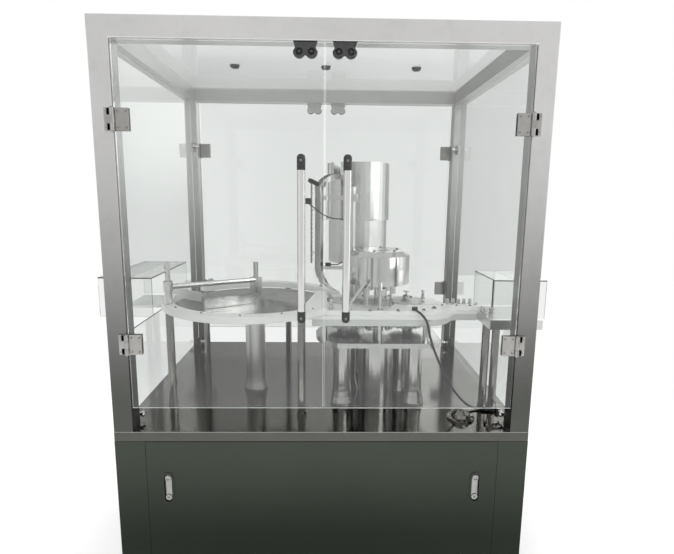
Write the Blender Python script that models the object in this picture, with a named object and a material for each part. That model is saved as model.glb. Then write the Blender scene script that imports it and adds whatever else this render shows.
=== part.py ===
# Rotary capping machine for small vials, glazed in above a stainless cabinet.
# Metres, +Z up. The floor under the feet is Z = 0 and the doors with handles face -Y.
import math

import bmesh
import bpy
import numpy as np
from mathutils import Matrix, Vector

GAP = 0.0003                    # between pieces that touch
RUNNING = 0.0005                # between pieces that turn past each other

# Cabinet and deck
WIDTH = 1.300
DEPTH = 0.950
DECK_HEIGHT = 0.700
DECK_THICKNESS = 0.032
FOOT_HEIGHT = 0.100
SHEET = 0.003                   # cabinet side, back and floor sheets
CORNER_COLUMN = 0.094           # front corner columns beside the lift-off panel
PANEL_THICKNESS = 0.018
LATCH_INSET = 0.066             # latch centre in from the panel's edge
LATCH_DROP = 0.158              # latch centre below the deck's lower edge
LATCH_WIDTH = 0.030
LATCH_LENGTH = 0.100
LATCH_WALL = 0.003

# Glazed enclosure
TUBE = 0.060
GLAZED_HEIGHT = 1.150
GLASS = 0.006
DOOR_LIFT = 0.080               # open slot under the doors
HINGE_LENGTH = 0.062
HINGE_REACH = 0.044             # clamp plate past the post's edge
HINGE_LEAF_REACH = 0.024        # leaf on the post
HINGE_PLATE = 0.005
HINGE_LIFT = 0.283              # lower hinges' centre above the deck
HINGE_DROP = 0.215              # upper hinges' centre under the top ring
HINGE_HEIGHTS = (HINGE_LIFT, GLAZED_HEIGHT - HINGE_DROP)
KNUCKLE_RADIUS = 0.0065
PIN_RADIUS = 0.0025
HANDLE_DIAMETER = 0.025
HANDLE_STAND = 0.034            # handle axis in front of the glass
HANDLE_INSET = 0.065            # handle axis from the middle of the front
HANDLE_BOTTOM = 0.361
HANDLE_TOP = 0.845
HANDLE_TOP_CAP = 0.045
HANDLE_FOOT_CAP = 0.036
ROOF_SHEET = 0.004
ROOF_LAMP_RADIUS = 0.018
ROOF_LAMP_SPACING = 0.335
HOOD_TOP = 0.467                # top of both side openings above the deck
HOOD_SHEET = 0.004
HOOD_SEAT = 0.001               # hood walls are glued into the pane by this much
HOOD_REACH = 0.070              # how far a hood stands outside the cabinet's side
HOOD_INSIDE = 0.040             # and inside the posts

# Rotary table and its guard ring, distances from the middle and behind the front
TABLE_X = -0.261
TABLE_BACK = 0.370
TABLE_RADIUS = 0.288
TABLE_THICKNESS = 0.010
TABLE_TOP = 0.334               # vial floor above the deck, for table, plates and trays
RING_INNER = 0.293
RING_OUTER = 0.331
RING_THICKNESS = 0.024
PEDESTAL_RADIUS = 0.037
PEDESTAL_FOOT_RADIUS = 0.0465
FLARE = 0.066                   # height of the flared foot on every large column

# Capping station
TURRET_X = 0.190
TURRET_BACK = 0.307
STAR_PITCH = 0.058              # vial centres on each star wheel
STAR_DROP = 0.0285              # side stars stand this much further back than the turret
STAR_POCKETS = 6
VIAL_RADIUS = 0.0110
STAR_THICKNESS = 0.014
STAR_LIFT = 0.002               # stars, ring and strips above the vial floor
GUIDE_CLEARANCE = 0.001         # between a vial and the guides round the stars
PLATES_FRONT = 0.165            # front edge of the station's plates behind the front
LOWER_PLATE_BOTTOM = 0.220
LOWER_PLATE_THICKNESS = 0.017
UNDER_PLATE_THICKNESS = 0.024
TOP_PLATE_THICKNESS = 0.013
GUIDE_THICKNESS = 0.016
GEAR_TEETH = 20
GEAR_THICKNESS = 0.014
GEAR_BOTTOM = LOWER_PLATE_BOTTOM + LOWER_PLATE_THICKNESS + 0.020
STAR_BOTTOM = TABLE_TOP + STAR_LIFT
HALF_LANE = VIAL_RADIUS + GUIDE_CLEARANCE / 2
SHAFT_RADIUS = 0.010
BELL_RADIUS = 0.1135
BELL_TOP_RADIUS = 0.093
BELL_WALL = 0.006
BELL_BOTTOM = 0.427
BELL_SHOULDER = 0.527
BELL_TOP = 0.543
SPINDLE_RADIUS = 0.058
CHUCK_BOTTOM = 0.386
CHUCK_RADIUS = 0.0105
SPINDLE_STEM = 0.0055
ROLLER_RADIUS = 0.016
ROLLER_BOTTOM = 0.453
ROLLER_THICKNESS = 0.012
CARRIER_BOTTOM = 0.437
CARRIER_THICKNESS = 0.008
CARRIER_RADIUS = 0.0735
FRICTION_RING_WALL = 0.016
STATION_COLUMN_RADIUS = 0.030
STATION_FOOT_RADIUS = 0.040

# Cap feed
BOWL_X = 0.132
BOWL_BACK = 0.560
BOWL_RADIUS = 0.124
BOWL_BOTTOM = 0.638
BOWL_TOP = 0.858
BOWL_WALL = 0.004
BOWL_TRACK_WIDTH = 0.020
BOWL_TRACK_THICKNESS = 0.004
BOWL_TRACK_TURNS = 1.75
DRIVE_RADIUS = 0.117
DRIVE_BOTTOM = 0.470
DRIVE_STEM_RADIUS = 0.035
CHUTE_ROD_RADIUS = 0.012
CHUTE_WIDTH = 0.026
CHUTE_DEPTH = 0.020
CHUTE_WALL = 0.003
CHUTE_X = -0.021                # upright stretch of the chute
CHUTE_BACK = 0.400
CHUTE_TURN = (0.53, 0.848)      # flat back of the chute faces this way in plan
CHUTE_ROD_X = 0.103
CHUTE_ROD_BACK = 0.410
OUTLET_ANGLE = 225              # bowl outlet, degrees from +X
OUTLET_DEPTH = 0.045

# Places and small sizes that belong to the groups above
DOOR_EDGE = 0.004               # gap round each glass door
WEB_START = 0.0012              # clamp's web to the post's inner face
PIN_STAND = 0.008               # hinge pin axis outside the posts' faces
CATCH_INSET = 0.055
INFEED_WINDOW = (0.115, 0.500)  # side openings, distances behind the front
OUTFEED_WINDOW = (0.110, 0.322)
WINDOW_BOTTOM = 0.298
HOOD_FOOT = 0.340
TABLE_SHAFT = 0.015
TABLE_SEAM = 0.003              # between the table's rim and the plates beside it
HUB_RADIUS = 0.045
HUB_DEPTH = 0.024
STRIP_HEIGHT = 0.038
STRIP_THICKNESS = 0.003
SHAFT_SINK = 0.030              # how far the drive shafts reach into the gearboxes
RING_OPEN_START = 141           # guard ring's open stretch for the infeed, degrees from +X
RING_OPEN_END = 178
RING_REAR_START = 14
RING_COLUMN_ANGLES = (210, 139, 71, -53)
COVER_START = -51.5             # cover over the table's right edge
COVER_BULGE = (0.197, -0.129)
COVER_TIP_RADIUS = 0.249
COVER_TIP_ANGLE = 22.5
COVER_END = 0.010
DEFLECTOR_END = (0.186, -0.150)
INFEED_THICKNESS = 0.010
INFEED_PLATE_FRONT = 0.315
INFEED_COLUMN = (-0.590, 0.400)
TRAY_SKIRT = 0.032
TRAY_COLUMNS = (0.5635, 0.598)
TRAY_COLUMN_BACK = 0.205
TRAY_SHEET = 0.0025
TRAY_COLUMN_RADIUS = 0.0135
SLIM_RADIUS = 0.013
PLATE_STEP = 0.006              # grey plate's edge inside the white plate's
RAIL_WIDTH = 0.010              # guide rails along the tail
SHELF = 0.467                   # top of the lower bar to the chute
THIN_ROD = 0.003
SPACERS = ((0.002, 0.205), (0.190, 0.192), (0.355, 0.222), (0.060, 0.424), (0.335, 0.412))
STATION_COLUMNS = ((0.063, 0.235), (0.320, 0.235), (0.090, 0.352), (0.290, 0.352))
CENTRE_RADIUS = 0.0625
PLATES_BACK = 0.470
TAIL_FRONT = 0.252
TAIL_BACK = 0.303
TAIL_END = 0.545
GLAND_X = 0.460
GLAND_BACK = 0.100
FLANGE_X = 0.552
FLANGE_BACK = 0.052
LEAD_RADIUS = 0.004
LEAD_GLAND_X = 0.602
LEAD_GLAND_BACK = 0.150
LEAD_GLAND_RADIUS = 0.010

HANDLE_REACH = HANDLE_STAND + HANDLE_DIAMETER / 2          # everything in front of the posts
REAR_REACH = PIN_STAND + KNUCKLE_RADIUS                    # hinge pins behind the posts
FRONT = (HANDLE_REACH - REAR_REACH - DEPTH) / 2            # front faces of the front posts
BACK = FRONT + DEPTH
DECK = DECK_HEIGHT
HALF = WIDTH / 2

STEEL = ("brushed_steel", (0.62, 0.62, 0.61), 0.30, 1.0)
DARK_STEEL = ("cabinet_steel", (0.30, 0.33, 0.31), 0.36, 1.0)
POLISHED = ("polished_steel", (0.78, 0.78, 0.77), 0.12, 1.0)
WHITE = ("white_plastic", (0.88, 0.88, 0.86), 0.42, 0.0)
GREY = ("grey_plastic", (0.66, 0.67, 0.67), 0.48, 0.0)
BLACK = ("black_plastic", (0.03, 0.03, 0.03), 0.50, 0.0)
CLEAR = ("clear_glass", (0.90, 0.95, 0.93), 0.03, 0.0)
IRON = ("painted_iron", (0.25, 0.28, 0.30), 0.55, 0.2)


def behind(distance):
    """Y at a distance behind the front faces of the posts."""
    return FRONT + distance


def above(height):
    """Z at a height above the deck."""
    return DECK + height


def clear_scene():
    for item in list(bpy.data.objects):
        bpy.data.objects.remove(item, do_unlink=True)


def polar(centre, radius, angle):
    """Point at a radius and an angle in degrees round a centre."""
    turn = math.radians(angle)
    return (centre[0] + radius * math.cos(turn), centre[1] + radius * math.sin(turn))


def arc(centre, radius, start, end, steps):
    """Points on an arc, angles in degrees, both ends included."""
    return [polar(centre, radius, start + (end - start) * i / steps) for i in range(steps + 1)]


def arc_through(a, b, c, steps):
    """Points on the round arc that runs from a through b to c."""
    a, b, c = Vector(a), Vector(b), Vector(c)
    half_sweep = math.atan2((b - a).cross(c - b), (b - a).dot(c - b))
    chord = c - a
    centre = (a + c) / 2 + Vector((-chord.y, chord.x)) / (2 * math.tan(half_sweep))
    start = math.degrees(math.atan2(a.y - centre.y, a.x - centre.x))
    return arc(centre, (a - centre).length, start, start + 2 * math.degrees(half_sweep), steps)


def rectangle(low, high):
    return [(low[0], low[1]), (high[0], low[1]), (high[0], high[1]), (low[0], high[1])]


def rounded(low, high, radius, steps=3):
    """Rectangle with round corners, anticlockwise."""
    left, right = low[0] + radius, high[0] - radius
    front, back = low[1] + radius, high[1] - radius
    points = arc((right, front), radius, -90, 0, steps) + arc((right, back), radius, 0, 90, steps)
    return points + arc((left, back), radius, 90, 180, steps) + arc((left, front), radius, 180, 270, steps)


def prism(outline, low, high, axis="Z"):
    """Closed solid of one outline carried from low to high along an axis."""
    place = {
        "X": lambda a, b, c: (c, a, b),
        "Y": lambda a, b, c: (a, c, b),
        "Z": lambda a, b, c: (a, b, c),
    }[axis]
    shape = bmesh.new()
    base = shape.faces.new([shape.verts.new(place(a, b, low)) for a, b in outline])
    made = bmesh.ops.extrude_face_region(shape, geom=[base], use_keep_orig=True)
    moved = [item for item in made["geom"] if isinstance(item, bmesh.types.BMVert)]
    bmesh.ops.translate(shape, verts=moved, vec=Vector(place(0, 0, high - low)))
    return shape


def block(low, high):
    return prism(rectangle(low[:2], high[:2]), low[2], high[2])


def turned(profile, centre, segments=24, ring=False):
    """Solid of revolution about a vertical axis; a ring's profile closes on itself."""
    shape = bmesh.new()
    points = [shape.verts.new((centre[0] + r, centre[1], z)) for r, z in profile]
    edges = [shape.edges.new(pair) for pair in zip(points, points[1:])]
    if ring:
        edges.append(shape.edges.new((points[-1], points[0])))
    bmesh.ops.spin(shape, geom=points + edges, cent=(centre[0], centre[1], 0), axis=(0, 0, 1),
                   angle=math.tau, steps=segments, use_merge=True)
    return shape


def rod(start, end, radius, sides=12):
    """Round bar between two points."""
    start, end = Vector(start), Vector(end)
    shape = bmesh.new()
    bmesh.ops.create_cone(shape, cap_ends=True, segments=sides, radius1=radius, radius2=radius,
                          depth=(end - start).length)
    turn = (end - start).to_track_quat("Z", "Y").to_matrix().to_4x4()
    bmesh.ops.transform(shape, matrix=Matrix.Translation((start + end) / 2) @ turn, verts=shape.verts)
    return shape


def carried(section, path, sideways=None):
    """Solid of one section (across, up) carried along a path of points, ends closed."""
    shape = bmesh.new()
    points = [Vector(p) for p in path]
    rings = []
    for i, point in enumerate(points):
        along = (points[min(i + 1, len(points) - 1)] - points[max(i - 1, 0)]).normalized()
        across = sideways(point) if sideways else along.cross(Vector((0, 0, 1))).normalized()
        rise = across.cross(along).normalized()
        rings.append([shape.verts.new(point + across * a + rise * b) for a, b in section])
    for one, two in zip(rings, rings[1:]):
        for i in range(len(section)):
            j = (i + 1) % len(section)
            shape.faces.new((one[i], one[j], two[j], two[i]))
    shape.faces.new(rings[0][::-1])
    shape.faces.new(rings[-1])
    return shape


def tidy(shape):
    bmesh.ops.remove_doubles(shape, verts=shape.verts, dist=0.000001)
    bmesh.ops.recalc_face_normals(shape, faces=shape.faces)
    return shape


def boolean(base, tools, operation):
    """The base with every tool joined to it or cut from it by exact Boolean modifiers."""
    holders = []
    for shape in [base] + tools:
        mesh = bpy.data.meshes.new("operand")
        tidy(shape).to_mesh(mesh)
        shape.free()
        holder = bpy.data.objects.new("operand", mesh)
        bpy.context.scene.collection.objects.link(holder)
        holders.append(holder)
    for tool in holders[1:]:
        modifier = holders[0].modifiers.new("shape", "BOOLEAN")
        modifier.operation = operation
        modifier.solver = "EXACT"
        modifier.object = tool
    bpy.context.view_layer.update()
    result = bmesh.new()
    result.from_object(holders[0], bpy.context.evaluated_depsgraph_get())
    for holder in holders:
        mesh = holder.data
        bpy.data.objects.remove(holder, do_unlink=True)
        bpy.data.meshes.remove(mesh)
    return result


def cut(base, *tools):
    return boolean(base, list(tools), "DIFFERENCE")


def join(base, *tools):
    return boolean(base, list(tools), "UNION")


def finish_of(look):
    """Material of one finish, made once."""
    name, colour, roughness, metallic = look
    material = bpy.data.materials.get(name)
    if material is None:
        material = bpy.data.materials.new(name)
        material.use_nodes = True
        shader = material.node_tree.nodes["Principled BSDF"]
        shader.inputs["Base Color"].default_value = (*colour, 1.0)
        shader.inputs["Roughness"].default_value = roughness
        shader.inputs["Metallic"].default_value = metallic
        if name.startswith("clear"):
            shader.inputs["Alpha"].default_value = 0.35
    return material


def node(name, shape, look, origin=(0, 0, 0)):
    """Named object from one solid, its origin on the joint's axis where it moves."""
    whole = tidy(shape)
    bmesh.ops.translate(whole, verts=whole.verts, vec=-Vector(origin))
    mesh = bpy.data.meshes.new(name)
    whole.to_mesh(mesh)
    whole.free()
    mesh.shade_smooth()
    mesh.set_sharp_from_angle(angle=math.radians(35))
    mesh.materials.append(finish_of(look))
    item = bpy.data.objects.new(name, mesh)
    item.location = origin
    bpy.context.scene.collection.objects.link(item)


def edged_block(low, high, edge):
    """Block with every edge broken by a small chamfer."""
    shape = block(low, high)
    bmesh.ops.bevel(shape, geom=shape.edges[:], offset=edge, segments=1, affect="EDGES")
    return shape


def stadium(centre, width, length, steps=6):
    """Upright slot outline with round ends."""
    straight = (length - width) / 2
    top = arc((centre[0], centre[1] + straight), width / 2, 0, 180, steps)
    return top + arc((centre[0], centre[1] - straight), width / 2, 180, 360, steps)


def cabinet():
    """Cabinet on four levelling feet, closed in front by a lift-off panel with two latches."""
    foot_x = HALF - CORNER_COLUMN / 2
    foot_inset = CORNER_COLUMN / 2
    pad, stem, nut = 0.030, 0.008, 0.016
    feet = []
    for x in (-foot_x, foot_x):
        for y in (FRONT + foot_inset, BACK - foot_inset):
            top = FOOT_HEIGHT + SHEET / 2
            feet.append(turned([(0, 0), (pad, 0), (pad, 0.008), (nut, 0.018), (stem, 0.018),
                                (stem, top - 0.014), (nut, top - 0.014), (nut, top), (0, top)], (x, y), 12))

    sill = 0.030
    cabinet_top = DECK - DECK_THICKNESS - GAP
    opening = HALF - CORNER_COLUMN
    body = cut(
        block((-HALF, FRONT, FOOT_HEIGHT), (HALF, BACK, cabinet_top)),
        block((-HALF + SHEET, FRONT + TUBE, FOOT_HEIGHT + SHEET), (HALF - SHEET, BACK - SHEET, DECK)),
        block((-opening, FRONT - TUBE, FOOT_HEIGHT + sill), (opening, FRONT + 2 * TUBE, DECK)),
    )
    node("cabinet_body", join(body, *feet), DARK_STEEL)

    seam = 0.001
    fold = 0.012
    face = 0.0025
    low = (-opening + seam, FRONT, FOOT_HEIGHT + sill + GAP)
    high = (opening - seam, FRONT + PANEL_THICKNESS, cabinet_top - seam)
    latch_x = opening - LATCH_INSET
    latch_z = cabinet_top - LATCH_DROP
    pan = cut(block(low, high),
              block((low[0] + fold, FRONT + face, low[2] + fold), (high[0] - fold, BACK, high[2] - fold)))
    cups, hollows = [], []
    for name, x in (("left", -latch_x), ("right", latch_x)):
        shapes, hollow = latch_cup(x, latch_z)
        cups += shapes
        hollows.append(hollow)
        latch_lever(name, x, latch_z)
    node("front_panel", cut(join(pan, *cups), *hollows), DARK_STEEL)


def latch_cup(x, z):
    """Oval cup let into the panel, its rim proud of the face, and the hollow to cut from it."""
    rim, lip, depth = 0.004, 0.0015, 0.021
    flange = prism(stadium((x, z), LATCH_WIDTH + 2 * rim, LATCH_LENGTH + 2 * rim),
                   FRONT - lip, FRONT + lip, "Y")
    barrel = prism(stadium((x, z), LATCH_WIDTH, LATCH_LENGTH), FRONT + lip / 2, FRONT + depth, "Y")
    hollow = prism(stadium((x, z), LATCH_WIDTH - 2 * LATCH_WALL, LATCH_LENGTH - 2 * LATCH_WALL),
                   FRONT - TUBE, FRONT + depth - LATCH_WALL, "Y")
    return (flange, barrel), hollow


def latch_lever(name, x, z):
    """Pull lever in the cup, hinged on the stub pins at its upper end."""
    width, thickness, inset, stub = 0.018, 0.006, 0.003, 0.002
    length = LATCH_LENGTH - 2 * LATCH_WALL - 2 * inset
    pivot = (x, FRONT + thickness, z + (length - width) / 2)
    reach = LATCH_WIDTH / 2 - LATCH_WALL - 2 * RUNNING
    bar = prism(stadium((x, z), width, length), pivot[1] - thickness / 2, pivot[1] + thickness / 2, "Y")
    pin = rod((x - reach, pivot[1], pivot[2]), (x + reach, pivot[1], pivot[2]), stub, 10)
    node("latch_lever_" + name, join(bar, pin), STEEL, pivot)


def deck():
    """Deck plate with its drive shaft holes, round glands and the slim columns that stand on it."""
    hole = 0.004
    plate = cut(
        edged_block((-HALF, FRONT, DECK - DECK_THICKNESS), (HALF, BACK, DECK), 0.001),
        rod((TABLE_X, behind(TABLE_BACK), 0), (TABLE_X, behind(TABLE_BACK), 1), TABLE_SHAFT + hole, 16),
        rod((TURRET_X, behind(TURRET_BACK), 0), (TURRET_X, behind(TURRET_BACK), 1), SHAFT_RADIUS + hole, 16),
    )
    base = DECK
    sunk = base - 0.002
    gland = turned([(0, sunk), (0.045, sunk), (0.045, base + 0.005), (0.032, base + 0.008),
                    (0.030, base + 0.020), (0.018, base + 0.031), (0, base + 0.035)],
                   (GLAND_X, behind(GLAND_BACK)), 20)
    flange = turned([(0, sunk), (0.030, sunk), (0.030, base + 0.004), (0.016, base + 0.006),
                     (0.016, base + 0.012), (0, base + 0.012)], (FLANGE_X, behind(FLANGE_BACK)), 16)
    nut = turned([(0, sunk), (LEAD_GLAND_RADIUS, sunk), (LEAD_GLAND_RADIUS, base + 0.014),
                  (LEAD_GLAND_RADIUS - 0.003, base + 0.018), (0, base + 0.018)],
                 (LEAD_GLAND_X, behind(LEAD_GLAND_BACK)), 8)
    node("deck_plate", join(plate, gland, flange, nut, *slim_columns()), DARK_STEEL)


def drive_unit():
    """Mounting plate under the deck with two gearboxes and motors, for the table and the turret."""
    top = DECK - DECK_THICKNESS - GAP
    plate_thickness, half, box_depth, motor_drop, motor_radius = 0.010, 0.055, 0.110, 0.062, 0.040
    margin = half + 0.020
    near, far = sorted((behind(TABLE_BACK), behind(TURRET_BACK)))
    plate = block((TABLE_X - margin, near - margin, top - plate_thickness),
                  (TURRET_X + margin, far + margin, top))
    bodies, sockets = [], []
    drives = ((TABLE_X, behind(TABLE_BACK), TABLE_SHAFT), (TURRET_X, behind(TURRET_BACK), SHAFT_RADIUS))
    for x, y, shaft in drives:
        bodies.append(edged_block((x - half, y - half, top - box_depth),
                                  (x + half, y + half, top - 0.002), 0.004))
        bodies.append(rod((x, y + half / 2, top - motor_drop), (x, y + half + 0.180, top - motor_drop),
                          motor_radius, 16))
        sockets.append(rod((x, y, top - SHAFT_SINK - 0.004), (x, y, DECK), shaft + RUNNING, 16))
    node("drive_unit", cut(join(plate, *bodies), *sockets), IRON)


def enclosure():
    """Welded frame of four posts and a top ring, with its hinge leaves, glass clamps and door catches."""
    bottom = above(GLAZED_HEIGHT)
    top = bottom + TUBE
    inside = (HALF - TUBE, BACK - TUBE)
    ring = cut(edged_block((-HALF, FRONT, bottom), (HALF, BACK, top), 0.002),
               block((-inside[0], FRONT + TUBE, DECK), (inside[0], inside[1], 2 * top)))
    pieces = []
    for x in (-HALF, HALF - TUBE):
        for y in (FRONT, BACK - TUBE):
            pieces.append(prism(rounded((x, y), (x + TUBE, y + TUBE), 0.003, 2),
                                DECK + GAP, bottom + TUBE / 3))
    for outward, face_y in ((-1, FRONT), (1, BACK)):
        for side in (-1, 1):
            for height in HINGE_HEIGHTS:
                pieces += hinge_leaf(side * (HALF - TUBE), face_y, above(height), side, outward)
    node("enclosure_frame", join(ring, *pieces, *glass_clamps(), *catches()), STEEL)

    roof_top = top - 0.004
    low = roof_top - ROOF_SHEET
    roof = block((-inside[0] + GAP, FRONT + TUBE + GAP, low), (inside[0] - GAP, inside[1] - GAP, roof_top))
    radius = ROOF_LAMP_RADIUS
    lamps = []
    for place in (-1, 0, 1):
        lamps.append(turned([(0, low + 0.001), (radius, low + 0.001), (radius, low - 0.004),
                             (0.8 * radius, low - 0.010), (0.5 * radius, low - 0.014), (0, low - 0.015)],
                            (place * ROOF_LAMP_SPACING, (FRONT + BACK) / 2), 16))
    node("roof_panel", join(roof, *lamps), CLEAR)


def side_glass():
    """Fixed panes between the posts, each cut out for the clear hood over its conveyor opening."""
    centre = HALF - TUBE / 2
    for side, name, window in ((-1, "left", INFEED_WINDOW), (1, "right", OUTFEED_WINDOW)):
        pane = cut(
            block((side * centre - GLASS / 2, FRONT + TUBE + GAP, DECK + GAP),
                  (side * centre + GLASS / 2, BACK - TUBE - GAP, above(GLAZED_HEIGHT) - GAP)),
            block((side * centre - TUBE, behind(window[0]), above(WINDOW_BOTTOM)),
                  (side * centre + TUBE, behind(window[1]), above(HOOD_TOP))),
        )
        low, high = behind(window[0]) - HOOD_SEAT, behind(window[1]) + HOOD_SEAT
        top, foot = above(HOOD_TOP) + HOOD_SEAT, above(HOOD_FOOT)
        outline = [(low, foot), (low, top), (high, top), (high, foot), (high - HOOD_SHEET, foot),
                   (high - HOOD_SHEET, top - HOOD_SHEET), (low + HOOD_SHEET, top - HOOD_SHEET),
                   (low + HOOD_SHEET, foot)]
        ends = sorted((side * (HALF + HOOD_REACH), side * (HALF - TUBE - HOOD_INSIDE)))
        hood = prism(outline, ends[0], ends[1], "X")
        node("side_glass_" + name, join(pane, hood), CLEAR)


def hinge_leaf(pin_x, face_y, middle_z, side, outward):
    """Fixed leaf on a post with two knuckles and the pin through them."""
    pin = (pin_x, face_y + outward * PIN_STAND)
    low, high = middle_z - HINGE_LENGTH / 2, middle_z + HINGE_LENGTH / 2
    third = HINGE_LENGTH / 3
    sheet = sorted((face_y - outward * RUNNING, face_y + outward * (GAP + HINGE_PLATE)))
    near, far = KNUCKLE_RADIUS + RUNNING, HINGE_LEAF_REACH
    plate = block((min(side * near, side * far) + pin_x, sheet[0], low),
                  (max(side * near, side * far) + pin_x, sheet[1], high))
    parts = [plate]
    for start, end in ((low, low + third - RUNNING), (high - third + RUNNING, high)):
        edges = sorted((pin_x, pin_x + side * 2 * near))
        parts.append(block((edges[0], sheet[0], start), (edges[1], sheet[1], end)))
        parts.append(rod((*pin, start), (*pin, end), KNUCKLE_RADIUS, 10))
    parts.append(rod((*pin, low + third / 2), (*pin, high - third / 2), PIN_RADIUS, 10))
    return parts


def door_clamp(pin_x, face_y, middle_z, side, outward):
    """Clamp round the glass door's edge; its outer plate carries the middle knuckle."""
    pin = (pin_x, face_y + outward * PIN_STAND)
    low, high = middle_z - HINGE_LENGTH / 2, middle_z + HINGE_LENGTH / 2
    third = HINGE_LENGTH / 3
    sheet = sorted((face_y + outward * GAP, face_y + outward * (GAP + HINGE_PLATE)))
    near, far = KNUCKLE_RADIUS + RUNNING, HINGE_REACH
    edges = sorted((pin_x - side * near, pin_x - side * far))
    plate = block((edges[0], sheet[0], low), (edges[1], sheet[1], high))
    tongue = sorted((pin_x, pin_x - side * 2 * near))
    bridge = block((tongue[0], sheet[0], low + third), (tongue[1], sheet[1], high - third))
    knuckle = rod((*pin, low + third), (*pin, high - third), KNUCKLE_RADIUS, 10)
    bore = rod((*pin, low), (*pin, high), PIN_RADIUS + RUNNING, 10)
    back = (face_y - outward * (GLASS + GAP), face_y - outward * (GLASS + GAP + HINGE_PLATE))
    reach = sorted((pin_x - side * WEB_START, pin_x - side * far))
    inner = block((reach[0], min(back), low), (reach[1], max(back), high))
    web_x = sorted((pin_x - side * WEB_START, pin_x - side * (DOOR_EDGE - RUNNING)))
    web_y = sorted((back[1], sheet[0] + HINGE_PLATE / 2))
    web = block((web_x[0], web_y[0], low + third), (web_x[1], web_y[1], high - third))
    return cut(join(plate, bridge, knuckle, inner, web), bore)


def doors():
    """Front and rear pairs of glass doors on pin hinges, with handles on the front pair."""
    for outward, face_y, place in ((-1, FRONT, "front"), (1, BACK, "rear")):
        for side, name in ((-1, "left"), (1, "right")):
            pin_x = side * (HALF - TUBE)
            axis = (pin_x, face_y + outward * PIN_STAND, DECK)
            edges = sorted((pin_x - side * DOOR_EDGE, side * DOOR_EDGE / 2))
            sheet = sorted((face_y, face_y - outward * GLASS))
            pane = block((edges[0], sheet[0], above(DOOR_LIFT)),
                         (edges[1], sheet[1], above(GLAZED_HEIGHT) - DOOR_EDGE))
            node(place + "_door_" + name, pane, CLEAR, axis)
            for height, level in zip(HINGE_HEIGHTS, ("lower", "upper")):
                clamp = door_clamp(pin_x, face_y, above(height), side, outward)
                node("_".join((place, level, "clamp", name)), clamp, STEEL, axis)
            if outward < 0:
                handle(side, name, axis)


def handle(side, name, axis):
    """Upright tube between two black end caps that stand on the glass."""
    x, y = side * HANDLE_INSET, FRONT - HANDLE_STAND
    radius = HANDLE_DIAMETER / 2
    tube_low, tube_high = above(HANDLE_BOTTOM + HANDLE_FOOT_CAP), above(HANDLE_TOP - HANDLE_TOP_CAP)
    tube = rod((x, y, tube_low - 0.002), (x, y, tube_high + 0.002), radius - 0.001, 16)
    caps = []
    for start, end in ((tube_low, above(HANDLE_BOTTOM)), (tube_high, above(HANDLE_TOP))):
        way = math.copysign(1, end - start)
        dome = end - way * radius
        cap = turned([(0, start), (radius, start), (radius, dome), (0.87 * radius, dome + way * 0.5 * radius),
                      (0.5 * radius, dome + way * 0.87 * radius), (0, end)], (x, y), 12)
        low, high = sorted((start + way * 0.006, dome + way * 0.004))
        leg = block((x - 0.008, y, low), (x + 0.008, FRONT - GAP, high))
        caps += [cap, leg]
    node("handle_" + name, join(tube, *caps), POLISHED, axis)


def catches():
    """Black two-lobed door catches under the top frame."""
    half, drop, depth = 0.034, 0.045, 0.018
    lobe = half / 2
    plates = []
    for outward, face_y in ((-1, FRONT), (1, BACK)):
        sheet = sorted((face_y - outward * (GLASS + RUNNING), face_y - outward * (GLASS + depth)))
        for x in (-CATCH_INSET, CATCH_INSET):
            top = above(GLAZED_HEIGHT) + 0.002
            low = top - drop + lobe
            outline = [(x + half, top), (x - half, top), (x - 0.8 * half, top - 0.4 * drop)]
            outline += arc((x - lobe, low), lobe, 180, 330, 5)
            outline += arc((x + lobe, low), lobe, 210, 360, 5)
            outline += [(x + 0.8 * half, top - 0.4 * drop)]
            plates.append(prism(outline, sheet[0], sheet[1], "Y"))
    return plates


def glass_clamps():
    """Small clamps that hold the side glass beside the posts."""
    pieces = []
    for side in (-1, 1):
        face = side * (HALF - TUBE / 2 - GLASS / 2 - GAP)
        edges = sorted((face, face - side * 0.012))
        for y, heights in ((BACK - TUBE - 0.034, (GLAZED_HEIGHT - 0.225, 0.001)),
                           (FRONT + TUBE - 0.001, (0.001,))):
            for height in heights:
                pieces.append(block((edges[0], y, above(height)),
                                    (edges[1], y + 0.035, above(height) + 0.040)))
    return pieces


def column(centre, radius, foot_radius, low, high, bore=0.0, segments=20):
    """Round column whose foot flares out in a hollow curve, with a bore where a shaft runs in it."""
    land = 0.006
    profile = [(foot_radius, low), (foot_radius, low + land)]
    for i in (1, 2, 3):
        t = i / 3
        profile.append((radius + (foot_radius - radius) * (1 - t) ** 2, low + land + (FLARE - land) * t))
    profile.append((radius, high))
    if bore:
        return turned(profile + [(bore, high), (bore, low)], centre, segments, ring=True)
    return turned([(0, low)] + profile + [(0, high)], centre, segments)


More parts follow.
